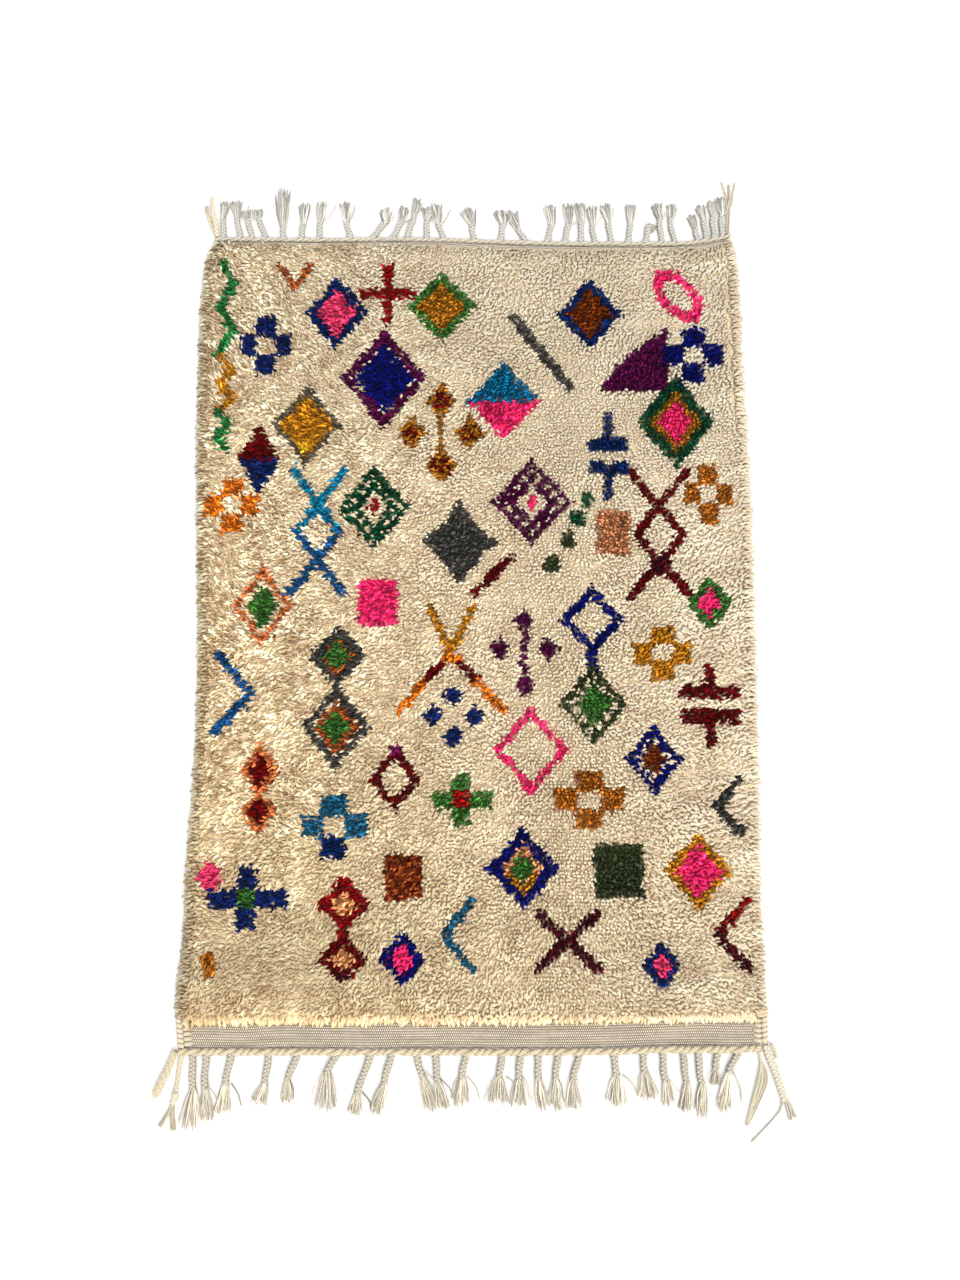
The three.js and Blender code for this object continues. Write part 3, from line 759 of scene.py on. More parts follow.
def tint(tree, colour, factor):
    """A colour times a factor that changes over the surface."""
    node = tree.nodes.new("ShaderNodeVectorMath")
    node.operation = "SCALE"
    tree.links.new(colour, node.inputs[0])
    tree.links.new(factor, node.inputs["Scale"])
    return node.outputs["Vector"]


def bump(tree, height, distance, before=None):
    """A Bump node over a height, on top of another bump where one comes before it."""
    node = tree.nodes.new("ShaderNodeBump")
    node.inputs["Distance"].default_value = distance
    node.inputs["Strength"].default_value = BUMP_STRENGTH
    tree.links.new(height, node.inputs["Height"])
    if before is not None:
        tree.links.new(before, node.inputs["Normal"])
    return node.outputs["Normal"]


print("every bump has a strength of", BUMP_STRENGTH)

# %% Yarn materials
def wool_colour(tree):
    """The colour that a piece's points carry."""
    node = tree.nodes.new("ShaderNodeAttribute")
    node.attribute_name = "Wool"
    return node.outputs["Color"]


def dyed_wool(name, sheen):
    """Wool whose colour is the piece's own attribute."""
    material, tree, shader = new_material(name, 1.0, sheen, gloss=0.05)
    fuzz = use_group(tree, fibres, Scale=700.0)
    tree.links.new(tint(tree, wool_colour(tree), fuzz.outputs["Shade"]), shader.inputs["Base Color"])
    tree.links.new(bump(tree, fuzz.outputs["Height"], 0.0006), shader.inputs["Normal"])
    return material


def spun_yarn(name, colour, plies, turns_per_mm, depth, sheen):
    """Yarn of one colour with its twist and painted shade in its grooves, for tubes with a Yarn map."""
    material, tree, shader = new_material(name, 0.8, sheen)
    twist = use_group(tree, spun, Plies=plies, Turns_per_mm=turns_per_mm, Depth=depth)
    fuzz = use_group(tree, fibres, Scale=500.0)
    shade = maths(tree, "MULTIPLY", twist.outputs["Shade"], fuzz.outputs["Shade"])
    # the points' colours bring the painted shade of the piece's low grooves, and in tassels each yarn's own
    # tone
    yarn_with_painted_shade = tree.nodes.new("ShaderNodeVectorMath")
    yarn_with_painted_shade.operation = "MULTIPLY"
    yarn_with_painted_shade.inputs[1].default_value = linear(colour)
    tree.links.new(wool_colour(tree), yarn_with_painted_shade.inputs[0])
    tree.links.new(tint(tree, yarn_with_painted_shade.outputs["Vector"], shade), shader.inputs["Base Color"])
    coarse = bump(tree, twist.outputs["Height"], 0.0005)
    tree.links.new(bump(tree, fuzz.outputs["Height"], 0.0003, coarse), shader.inputs["Normal"])
    return material


pile_wool = dyed_wool("pile_wool", sheen=0.02)
cotton_yarn = spun_yarn("cotton_yarn", (248, 242, 224), plies=2.0, turns_per_mm=0.35, depth=0.55, sheen=0.1)
edge_yarn = spun_yarn("edge_yarn", (242, 231, 206), plies=3.0, turns_per_mm=0.3, depth=0.3, sheen=0.2)
cord_yarn = spun_yarn("cord_yarn", (242, 228, 196), plies=3.0, turns_per_mm=0.22, depth=0.55, sheen=0.2)
tail_yarn = spun_yarn("tail_yarn", (240, 232, 206), plies=3.0, turns_per_mm=0.3, depth=0.3, sheen=0.25)
print("yarn materials ready")

# %% [markdown]
# ## Ground weave
# The ground is a plain weave of cotton warps, packed hard by the weft, so that only its ribs show on the
# bare near heading. It is one sheet, and the knots show through on its back. A grid that is bent to the
# outline in code and extruded down is the plainest way: the ribs are real ridges, and the fine ticks
# between the warps are bump, because they are only a millimetre wide.

# %% A grid bent to the rug's outline
GRID_COLUMNS = 70
columns = np.linspace(0, 1, GRID_COLUMNS)


def wander(x, y):
    """How far the weft rows stray along the rug, in millimetres."""
    return 2.0 * restless(x, y, 70, 4)


def bent_grid(name, rows, sides, top):
    """A grid whose rows run from side to side of the rug, made solid by extruding it down."""
    bpy.ops.object.select_all(action="DESELECT")
    bpy.ops.mesh.primitive_grid_add(x_subdivisions=len(columns) - 1, y_subdivisions=len(rows) - 1)
    made = bpy.context.object
    made.name = made.data.name = name
    share, y = np.meshgrid(columns, rows)
    left, right = sides(y)
    x = left + (right - left) * share
    flat = np.stack([x, y, top(x, y)], -1).reshape(-1, 3)
    made.data.vertices.foreach_set("co", flat.astype(np.float32).ravel())
    bpy.ops.object.mode_set(mode="EDIT")
    bpy.ops.mesh.select_all(action="SELECT")
    bpy.ops.mesh.extrude_region_move(TRANSFORM_OT_translate={"value": (0, 0, -1)})
    bpy.ops.mesh.select_all(action="SELECT")
    bpy.ops.mesh.normals_make_consistent(inside=False)
    bpy.ops.object.mode_set(mode="OBJECT")
    return made


def settle(made, base_level, material):
    """Lays the grid's lower skin level, keeps the layout places as its map and moves it to the frame."""
    mesh = made.data
    points = np.empty(len(mesh.vertices) * 3, np.float32)
    mesh.vertices.foreach_get("co", points)
    points = points.reshape(-1, 3).astype(float)
    half = len(points) // 2
    lower_skin = min(points[:half], points[half:], key=lambda skin: skin[:, 2].mean())
    lower_skin[:, 2] = base_level
    corner = np.empty(len(mesh.loops), np.int32)
    mesh.loops.foreach_get("vertex_index", corner)
    layer = mesh.uv_layers[0]
    layer.name = "Yarn"
    on_cloth = points[:, :2] + np.outer(wander(points[:, 0], points[:, 1]), [0, 1])
    layer.data.foreach_set("uv", on_cloth[corner].astype(np.float32).ravel())
    mesh.vertices.foreach_set("co", to_frame(points).astype(np.float32).ravel())
    mesh.materials.append(material)
    mesh.shade_smooth()
    mesh.update()
    return points


print(GRID_COLUMNS, "columns from side to side")

# %% Ground weave's skin and cloth
GROUND_THICKNESS = 3.0
RIB_PITCH = 4.2
RIB_RISE = 0.5
TICK_PITCH = 3.4


def ribbed(x, y):
    """The upper skin of the ground weave, with ribs on the near heading."""
    ribs = np.abs(np.sin(np.pi * (y + wander(x, y)) / RIB_PITCH)) * RIB_RISE
    return GROUND_THICKNESS + np.where(y < NEAR_HEADING - 2, ribs, 0)


def ground_weave_cloth():
    """Its colour is an attribute, and its ticks and ribs are bump on the layout map, with painted shade in
    their grooves.
    """
    material, tree, shader = new_material("ground_weave_cloth", 0.9, 0.1)
    across_cloth, along_cloth = yarn_map(tree)
    rib_number = maths(tree, "DIVIDE", along_cloth, RIB_PITCH)
    shift = maths(tree, "MULTIPLY", maths(tree, "FLOOR", rib_number), 0.5)
    tick = ridges(tree, maths(tree, "ADD", maths(tree, "DIVIDE", across_cloth, TICK_PITCH), shift))
    rib = maths(tree, "SQRT", ridges(tree, rib_number))
    height = maths(tree, "MULTIPLY", maths(tree, "MULTIPLY_ADD", tick, 0.95, 0.05), rib)
    blotches = use_group(tree, fibres, Scale=90.0)
    # painted shade: low grooves darker, ridges lighter
    shade = maths(tree, "MULTIPLY_ADD", height, 1.6, 0.22)
    shade = maths(tree, "MULTIPLY", shade, blotches.outputs["Shade"])
    tree.links.new(tint(tree, wool_colour(tree), shade), shader.inputs["Base Color"])
    tree.links.new(bump(tree, height, 0.0014), shader.inputs["Normal"])
    return material


print(round(NEAR_HEADING / RIB_PITCH), "ribs on the near heading")

# %% Ground weave
ROWS_TO_A_RIB = 4
WEAVE_STEP = 14.0
BARE_WEAVE = (184, 174, 157)
FAR_WEAVE = (222, 212, 196)
ROWS_APART = 7.0  # makes smooth noise change from row to row but not along a row

rib_rows = np.arange(0, NEAR_HEADING, RIB_PITCH / ROWS_TO_A_RIB)
plain_rows = np.linspace(NEAR_HEADING, RUG_LENGTH, round((RUG_LENGTH - NEAR_HEADING) / WEAVE_STEP))
weave_rows = np.concatenate([rib_rows, plain_rows])
ground = bent_grid("rug_ground_weave", weave_rows, weave_sides, ribbed)
places = settle(ground, 0.0, ground_weave_cloth())
weave_x, weave_y = places[:, 0], places[:, 1]
in_pile = (weave_y > NEAR_HEADING) & (weave_y < RUG_LENGTH - FAR_HEADING)
knots_behind = DYE_VALUES[wool_at(weave_x, weave_y)] * 0.8  # the knots' backs are a little duller
weave_colours = np.where(in_pile[:, None], knots_behind, linear(BARE_WEAVE))
weave_colours[weave_y > RUG_LENGTH - FAR_HEADING - 2] = linear(FAR_WEAVE)
# the heading's weft rows were spun unevenly, so one is lighter or darker than the next
uneven_rows = restless(0.5 * weave_x, ROWS_APART * weave_y, 30, 21)
weave_colours[~in_pile] *= np.exp(0.16 * uneven_rows[~in_pile])[:, None]
give_colours(ground.data, weave_colours)
finished(ground, ["ground_weave"])

# %% [markdown]
# ## Pile
# Each knot is a short length of wool tied round two warps, whose two ends stand up as one tuft. On this
# rug they are long enough to fall over, and they fall where feet and folding have combed them: to the left
# along the left edge, to the near end at both ends. A shallow bed of knots closes the ground between them.
# One tuft is a bent, tapering tube of three sides, and all of a band's tufts are one mesh.
# Where a tuft lies comes from twelve directions, each for a broad part of the rug and to ten degrees,
# blended and made restless with smooth noise.

# %% How the pile lies
# place across and along, direction that tufts fall in (degrees, 0 is right), how far they lie over (0 to 1)
LIE = np.array([
    (-400, 1300, 160, 0.8), (0, 1300, 230, 0.5), (400, 1300, 220, 0.6),
    (-400, 850, 170, 0.9), (0, 850, 210, 0.5), (400, 850, 10, 0.6),
    (-400, 450, 180, 0.8), (0, 450, 210, 0.5), (400, 450, 10, 0.6),
    (-400, 100, 210, 0.7), (0, 100, 230, 0.5), (400, 100, 340, 0.6),
], float)
LIE_REACH = 170.0


def lie_at(x, y):
    """The blended direction, in radians, and how far over the pile lies."""
    gap = (x[..., None] - LIE[:, 0]) ** 2 + (y[..., None] - LIE[:, 1]) ** 2
    weight = np.exp(-gap / (2 * LIE_REACH**2)) + 1e-9
    weight /= weight.sum(-1, keepdims=True)
    a = np.radians(LIE[:, 2])
    east = (weight * np.cos(a) * LIE[:, 3]).sum(-1)
    north = (weight * np.sin(a) * LIE[:, 3]).sum(-1)
    turned = np.arctan2(north, east) + 0.5 * restless(x, y, 85, 5) + 0.3 * restless(x, y, 34, 6)
    return turned, np.clip(np.hypot(east, north) + 0.1, 0.35, 0.95)


print(len(LIE), "directions")

# %% Bed of knots
PILE_BASE = 3.3
BED_LEVEL = 8.8
BED_ROWS = 100
# painted shade deep in the pile, on the bed and at the tufts' roots
ROOT_SHADE = np.array([0.90, 0.82, 0.70])
PILE_INSET = 0.7


def pile_sides(y):
    """The pile's sides, just inside the ground weave's."""
    left, right = weave_sides(y)
    return left + PILE_INSET, right - PILE_INSET


def bed_top(x, y):
    """The bed's upper skin, a little lumpy."""
    return BED_LEVEL + 0.8 * restless(x, y, 60, 8)


bed_rows = np.linspace(NEAR_HEADING, RUG_LENGTH - FAR_HEADING, BED_ROWS)
bed = bent_grid("pile_bed", bed_rows, pile_sides, bed_top)
bed_places = settle(bed, PILE_BASE, pile_wool)
# the bed is painted with the roots' shade
give_colours(bed.data, DYE_VALUES[wool_at(bed_places[:, 0], bed_places[:, 1])] * ROOT_SHADE)
finished(bed, ["pile"])

# %% Where the knots are tied
ROW_PITCH = 5.8
KNOT_PITCH = 5.2
LIP_ROWS = np.array([1.5, 4.0, 6.5])  # the last rows at the near end are packed tight
FIRST_ROW = 10.0  # the first evenly spaced row, from the heading
PILE_WIDTH = 965.0
SIDE_MARGIN = 2.0

rows = np.arange(NEAR_HEADING + FIRST_ROW, RUG_LENGTH - FAR_HEADING - 1, ROW_PITCH)
rows = np.concatenate([NEAR_HEADING + LIP_ROWS, rows])
knots_a_row = round(PILE_WIDTH / KNOT_PITCH)
share, knot_y = np.meshgrid(np.linspace(0, 1, knots_a_row), rows)
share = ramp(share + (np.arange(len(rows)) % 2)[:, None] * 0.5 / knots_a_row)
left, right = pile_sides(knot_y)
knot_x = (left + SIDE_MARGIN + (right - left - 2 * SIDE_MARGIN) * share).ravel()
knot_x = knot_x + rng.normal(0, 0.9, knot_x.size)
knot_y = knot_y.ravel() + rng.normal(0, 0.8, knot_y.size)
print(knot_x.size, "knots")

# %% Which way the tufts fall and how far over they lie
EDGE_REACH = 16.0  # how far from an edge of the pile the edge still matters
# for an edge: how near to it (1 is on it), direction in degrees and scatter in radians
LEFT_FALL, NEAR_FALL, RIGHT_FALL = (0.3, 188, 0.22), (0.4, 268, 0.42), (0.4, 352, 0.25)
LEAN_LIMITS = (0.3, 0.97)  # 0 is upright and 1 is flat on the bed

turned, over = lie_at(knot_x, knot_y)
turned = turned + rng.normal(0, 0.5, turned.size)
over = over + rng.normal(0, 0.1, over.size) + 0.14 * restless(knot_x, knot_y, 50, 9)
left, right = pile_sides(knot_y)
at_left = ramp(1 - (knot_x - left) / EDGE_REACH)
at_right = ramp(1 - (right - knot_x) / EDGE_REACH)
at_near = ramp(1 - (knot_y - NEAR_HEADING) / EDGE_REACH)
at_side = np.maximum(at_left, at_right)
# tufts at an edge spread over what is beside the pile
for at_edge, (within, falls, scatter) in ((at_left, LEFT_FALL), (at_near, NEAR_FALL), (at_right, RIGHT_FALL)):
    outwards = np.radians(falls) + rng.normal(0, scatter, turned.size)
    turned = np.where(at_edge > within, outwards, turned)
over = np.clip(np.clip(over, *LEAN_LIMITS) + 0.2 * np.maximum(at_left, at_near), *LEAN_LIMITS)
over = np.maximum(over, 0.9 * (at_right > RIGHT_FALL[0]))
print("mean lean:", over.mean().round(3))

# %% Size of the tufts
TUFT_LENGTH = 11.2
LONGER_LEFT, LONGER_NEAR, LONGER_RIGHT = 6.0, 3.0, 3.0
LONGER_MID_RIGHT = 4.0  # away from the two right corners
LOWEST_TUFT, HIGHEST_TUFT = 2.5, 9.5
SPRING = 0.26  # how much of its length an upright tuft keeps as height
FLATTEST = 0.92  # a tuft that lies right over leans by this share of a right angle
FOLD_PITCH = 38.0  # low folds that cross the rug

length = TUFT_LENGTH * rng.uniform(0.85, 1.15, turned.size) * (1 + 0.1 * restless(knot_x, knot_y, 40, 10))
mid_right = at_right * ramp((knot_y - 90) / 80) * ramp((1380 - knot_y) / 60)
length = length + LONGER_LEFT * at_left + LONGER_NEAR * at_near
length = length + LONGER_RIGHT * at_right + LONGER_MID_RIGHT * mid_right
lean = over * np.pi / 2 * FLATTEST
reach = length * np.sin(lean)
row_swell = restless(knot_x, ROWS_APART * knot_y, 45, 19)  # one row of knots stands higher than the next
folds = np.sin(2 * np.pi * knot_y / FOLD_PITCH + 2 * restless(knot_x, knot_y, 150, 12))
rise = LOWEST_TUFT + length * SPRING * np.cos(lean) + 1.5 * restless(knot_x, knot_y, 45, 11)
rise = np.clip(rise + 0.6 * folds + row_swell + 1.5 * at_side, LOWEST_TUFT, HIGHEST_TUFT)
root_level = BED_LEVEL - 0.6 + 2.2 * at_side
droop = 9.0 * np.maximum(at_side, 0.5 * at_near)  # a tip over an edge hangs down
bend = rng.normal(0, 1.1, turned.size)
print("mean length:", length.mean().round(2), "mm")

# %% [markdown]
# A tuft shows its colour where it lies and not where it is tied, so a knot's wool is looked up a little
# way along the pile's mean fall. The tufts' own scatter then breaks up every figure's edge, as it does
# in real pile. Each tuft is a shade lighter or darker than the next. Light that has been through wool
# comes out darker and warmer, so a tuft is brightest along the top of its tip and deepest at its root.

# %% Colours of the tufts
# the warm tint of a painted pool of sunlight
SUN_PATCH_TINT = np.array([0.87, 0.78, 0.62])
PALE_OR_WARM = np.array([0.75, 1.0, 1.2])  # light cream is paler, and dark cream is warmer
NEAR_LIP_HIGHLIGHT = np.array([0.33, 0.30, 0.22])  # painted highlight: the last row at the near end is painted brighter, where the light meets it
LEFT_EDGE_SHADE = np.array([0.40, 0.36, 0.30])  # painted shade: the left edge is painted darker, where the pile falls away from the light
# painted shade at the roots of dyed tufts
DYED_ROOT_SHADE = np.array([0.42, 0.38, 0.34])
FAR_END_REACH = 28.0
SHOWN_AT = 0.55  # how far along a tuft its colour is seen
DYED_SCATTER = 0.5  # how much a dyed tuft's lightness strays, much more than a cream one's
# how lit the top edge and the two lower ones are, at the root, the shoulder and the tip
LIT = np.array([(0.0, 0.0, 0.0), (0.8, 0.3, 0.3), (1.2, 0.7, 0.7)])

mean_turn, mean_over = lie_at(knot_x, knot_y)
shown = SHOWN_AT * TUFT_LENGTH * np.sin(mean_over * np.pi / 2)
tuft_wool = wool_at(
    knot_x + shown * np.cos(mean_turn) + rng.normal(0, 0.5, knot_x.size),
    knot_y + shown * np.sin(mean_turn) + rng.normal(0, 0.5, knot_x.size),
)
is_cream = tuft_wool == 0
# painted light: the cream is painted yellower and less even at the left and the near end, as a warm pool of
# sunlight on it
sun_patch = ramp(0.5 - knot_x / 1100 + (700 - knot_y) / 1800) * is_cream
left_highlight_and_shade = ramp(-knot_x / 420) * ramp((knot_y - 100) / 400)  # painted highlights and shade between the tufts, strongest at the left
shade = rng.normal(0, 1, knot_x.size)
shade *= np.where(is_cream, 0.07 + 0.10 * sun_patch + 0.22 * left_highlight_and_shade, DYED_SCATTER)
# painted light: rows of knots that stand higher are painted lighter
shade += (0.03 + 0.13 * ramp(abs(knot_x) / 420 + (600 - knot_y) / 1500)) * row_swell
shade += (0.05 + 0.12 * sun_patch + 0.16 * left_highlight_and_shade) * restless(knot_x, knot_y, 26, 18)
shade += 0.09 * restless(knot_x, knot_y, 55, 13)
hue = np.where(is_cream[:, None], PALE_OR_WARM, 1.0)
tuft_colour = DYE_VALUES[tuft_wool] * np.exp(shade[:, None] * hue)
tuft_colour *= 1 + rng.normal(0, 0.02, (knot_x.size, 3))
tuft_colour *= 1 - sun_patch[:, None] * (1 - SUN_PATCH_TINT)
# the cream is duller towards the far end and in two places by the near end
near_left = ramp((300 - knot_y) / 150) * ramp((knot_y - 78) / 35) * ramp(-knot_x / 250)
near_right = ramp((200 - knot_y) / 60) * ramp(knot_x / 300)
dull = 0.14 * ramp((knot_y - 850) / 400) + 0.18 * near_left + 0.07 * near_right
tuft_colour *= 1 - (dull * is_cream)[:, None]
# painted shade along the far end of the pile
at_far = ramp(1 - (RUG_LENGTH - FAR_HEADING - knot_y) / FAR_END_REACH)
tuft_colour *= 1 - 0.22 * at_far[:, None]
# painted highlight on the near lip and painted shade on the left edge
tuft_colour *= 1 + at_near[:, None] * NEAR_LIP_HIGHLIGHT - np.clip(at_left[:, None], 0, 0.6) * LEFT_EDGE_SHADE
# painted shade at the roots of cream tufts, none on the near lip
cream_root_shade = 1 - (1 - ROOT_SHADE) * ((0.7 + 0.7 * left_highlight_and_shade) * (1 - at_near))[:, None]
root_shade = np.where(is_cream[:, None], cream_root_shade, DYED_ROOT_SHADE)[:, None, None, :]
lit = np.where(is_cream[:, None, None], LIT, 1.3 * LIT)
tuft_shades = tuft_colour[:, None, None, :] * (root_shade + (1 - root_shade) * lit[..., None])
print(int(is_cream.sum()), "cream tufts")

# %% Tufts as meshes, one for each band of the rug
BANDS = 4
TUFT_WIDTH = 6.2
TUFT_FLATNESS = 0.55
TUFT_STOPS = np.array([0.0, 0.5, 1.0])
TUFT_SHAPE = np.array([0.8, 1.0, 0.72])  # width at each stop
TUFT_RISE = np.array([0.0, 1.0, 0.92])  # height at each stop
TUFT_RUN = np.array([0.0, 0.42, 1.0])  # how far it has fallen over

fall_x, fall_y = np.cos(turned), np.sin(turned)
curve_out = np.sin(np.pi * TUFT_STOPS)
tuft_paths = np.stack([
    knot_x[:, None] + np.outer(reach * fall_x, TUFT_RUN) - np.outer(bend * fall_y, curve_out),
    knot_y[:, None] + np.outer(reach * fall_y, TUFT_RUN) + np.outer(bend * fall_x, curve_out),
    root_level[:, None] + np.outer(rise, TUFT_RISE) - np.outer(droop, TUFT_RUN**3),
], -1)
plump = rng.uniform(0.82, 1.15, turned.size) * (1 + 0.25 * at_near)
tuft_width = TUFT_WIDTH * plump[:, None] * TUFT_SHAPE
band_of = np.minimum((knot_y - NEAR_HEADING) / (RUG_LENGTH - NEAR_HEADING) * BANDS, BANDS - 1).astype(int)
for band in range(BANDS):
    mine = band_of == band
    points, faces, uv = tubes(tuft_paths[mine], tuft_width[mine], tuft_width[mine] * TUFT_FLATNESS, sides=3)
    colours = tuft_shades[mine].reshape(-1, 3)
    piece(f"pile_tufts_{band + 1}", points, faces, pile_wool, ["pile"], uv, colours)

# %% [markdown]
# ## Selvedges
# Along each side the outer warps are overcast with cream wool, turn after turn. It is one yarn wound round
# a core, so it is one long tube on a helix, and the turns are wider near the weaver and finer far away.
# A row of separate rings would be simpler, but their turns wouldn't slant as wound yarn does.
# Beside the near heading the same wool also binds the weave's border with a few fat stitches.

# %% Overcast selvedges
SELVEDGE_HEIGHT = 9.0
CORE_GAP = 4.0  # how much narrower and lower the core is than the selvedge
WRAP_THICKNESS = 2.6
WRAP_OVERLAP = 1.05
NEAR_WRAP, FAR_WRAP = 8.0, 5.0  # from one turn to the next
FINEST_FROM = 500.0  # from here on the turns are as fine as at the far end
STOPS_A_TURN = 8
STITCH_LENGTH = 15.0
STITCH_WIDTHS = np.array([6.5, 7.8, 7.6, 7.2, 4.5])  # from its start in the selvedge to its end
INWARD = (1, -1)  # the way in from the left and from the right side


def selvedge_middle(y, side):
    """The place across the rug of a selvedge's core."""
    return outer_sides(y)[side] + INWARD[side] * SELVEDGE_WIDTH / 2


def wound_yarn(side):
    """The overcast yarn of one side as a tube on a helix, and its core."""
    y = np.linspace(2, RUG_LENGTH - 2, 4000)
    wrap = NEAR_WRAP + (FAR_WRAP - NEAR_WRAP) * ramp(y / FINEST_FROM)
    turns_made = np.concatenate([[0], np.cumsum(np.diff(y) / wrap[1:])])
    t = np.arange(0, turns_made[-1], 1 / STOPS_A_TURN)
    y, wrap = np.interp(t, turns_made, y), np.interp(t, turns_made, wrap)
    loose = 1 + 0.05 * restless(y, y * 0, 20, 14 + side)
    a = 2 * np.pi * t * INWARD[side]
    x = selvedge_middle(y, side) + (SELVEDGE_WIDTH - WRAP_THICKNESS) / 2 * np.cos(a) * loose
    z = SELVEDGE_HEIGHT / 2 + (SELVEDGE_HEIGHT - WRAP_THICKNESS) / 2 * np.sin(a) * loose
    helix = np.stack([x, y, z], -1)[None]
    y = np.linspace(1, RUG_LENGTH - 1, 90)
    core = np.stack([selvedge_middle(y, side), y, np.full_like(y, SELVEDGE_HEIGHT / 2)], -1)[None]
    return [
        tubes(helix, WRAP_THICKNESS, wrap[None] * WRAP_OVERLAP, 4, up=(0, 1, 0)),
        tubes(core, SELVEDGE_WIDTH - CORE_GAP, SELVEDGE_HEIGHT - CORE_GAP, 6),
    ]


def border_stitches(side):
    """Fat stitches across the border of the near heading."""
    y = np.arange(5, NEAR_HEADING + 4, NEAR_WRAP)
    start = weave_sides(y)[side] - INWARD[side] * 2
    t = np.linspace(0, 1, len(STITCH_WIDTHS))
    x = start[:, None] + INWARD[side] * (STITCH_LENGTH + rng.uniform(-2, 2, y.size))[:, None] * t
    z = 2.6 + 2.4 * np.sin(np.pi * ramp(t + 0.12)) * np.ones((y.size, 1))
    return tubes(np.stack([x, y[:, None] + t * 2, z], -1), STITCH_WIDTHS, 3.4, 6)


for side, name in enumerate(("left", "right")):
    points, faces, uv = put_together(wound_yarn(side) + [border_stitches(side)])
    # painted shade in the selvedge's low grooves
    colours = groove_shade(points, SELVEDGE_HEIGHT * 0.8, 0.6)
    piece(f"rug_selvedge_{name}", points, faces, edge_yarn, [f"selvedge_{name}"], uv, colours)

# %% [markdown]
# ## End cords
# A thick two-ply cord is twined along both ends to lock the last weft. One thick tube with a striped bump
# would be cheaper, but its outline would stay smooth. So each ply is a tube on a slow helix of its own, and
# the two lie half a turn apart.

# %% Twined end cords
END_CORD_HEIGHT = 8.4
CORD_TWIST = 30.0
NEAR_PLUMP, FAR_PLUMP = 1.3, 0.9  # each end's cord, as a share of END_CORD_WIDTH
CORD_STEP = 2.6
PLY_SHARE = 0.56  # of a ply in its cord's width


def run_along(points):
    """How far along a line each of its points is, seen from above."""
    return np.concatenate([[0], np.linalg.norm(np.diff(points[:, :2], axis=0), axis=1).cumsum()])


def sideways_of(centre):
    """The level direction across a centre line at each of its points."""
    ahead = np.gradient(centre[:, :2], axis=0)
    ahead /= np.linalg.norm(ahead, axis=1, keepdims=True)
    return np.stack([ahead[:, 1], -ahead[:, 0]], -1)


def strands_beside(centre, height, outs, lifts):
    """Paths that lie beside a centre line, half a height above it, by how far out and up each one is."""
    sideways = sideways_of(centre)
    return np.array([
        np.column_stack([centre[:, :2] + sideways * out[:, None], centre[:, 2] + height / 2 + lift])
        for out, lift in zip(outs, lifts)
    ])


def along_end(x, past, far):
    """Layout places at a distance past one end of the rug."""
    return np.stack([x, RUG_LENGTH + past if far else -past, np.zeros_like(x)], -1)


def twined(centre, width, height, twist, slack):
    """Two plies laid round a centre line. width and height may change along it."""
    run = run_along(centre)
    turns = [2 * np.pi * (run / twist + ply / 2) + slack * np.sin(run / 9) for ply in range(2)]
    outs = [np.cos(a) * width * (1 - PLY_SHARE) / 2 for a in turns]
    lifts = [np.sin(a) * height * (1 - PLY_SHARE) / 2 for a in turns]
    return tubes(strands_beside(centre, height, outs, lifts), width * PLY_SHARE, height * PLY_SHARE, 6)


def end_cord(far):
    """The cord along one end. The near one stops at the right selvedge."""
    left, right = outer_sides(RUG_LENGTH if far else 0.0)
    x = np.arange(left + 1, (right if far else right - SELVEDGE_WIDTH) - 1, CORD_STEP)
    thick = FAR_PLUMP if far else NEAR_PLUMP
    past = GAP + END_CORD_WIDTH * thick / 2 + 0.5 * restless(x, x * 0, 30, 16)
    plump = thick * (1 + 0.12 * restless(x, x * 0, 22, 17))
    height = END_CORD_HEIGHT * (plump + 1) / 2
    return twined(along_end(x, past, far), END_CORD_WIDTH * plump, height, CORD_TWIST, slack=0.8)


print("a ply is", round(END_CORD_WIDTH * PLY_SHARE, 1), "mm thick")

# %% [markdown]
# ## Fringes
# The warps beyond the cords are plaited three by three and left loose at the tips. A plait's three strands
# swing from side to side a third of a turn apart, and go up and down twice as often, which is all that a
# plait is. The tassels are single yarns that start inside their plait, fan out and settle on the floor.

# %% Where the plaits lie
# root, head and its reach, tip and its reach, spread of the tassel
NEAR_PLAITS = np.array([
    (-469, -464, 68, -468, 130, 20), (-446, -445, 64, -437, 117, 16), (-403, -411, 59, -416, 105, 17),
    (-342, -346, 59, -359, 90, 17), (-292, -308, 52, -308, 88, 13), (-225, -243, 41, -245, 101, 26),
    (-170, -192, 73, -197, 107, 14), (-135, -147, 57, -163, 106, 14), (-97, -84, 44, -66, 101, 15),
    (-65, -58, 55, -45, 98, 14), (-11, -18, 48, -20, 94, 22), (47, 44, 49, 42, 91, 25),
    (79, 78, 51, 78, 95, 24), (107, 110, 51, 117, 100, 15), (142, 138, 51, 140, 101, 14),
    (179, 166, 54, 166, 99, 17), (232, 240, 48, 236, 95, 22), (283, 287, 43, 292, 89, 22),
    (316, 321, 59, 326, 96, 15), (349, 356, 60, 352, 106, 15), (375, 381, 62, 377, 114, 14),
    (408, 405, 38, 403, 65, 11), (446, 426, 45, 414, 106, 16),
], float)
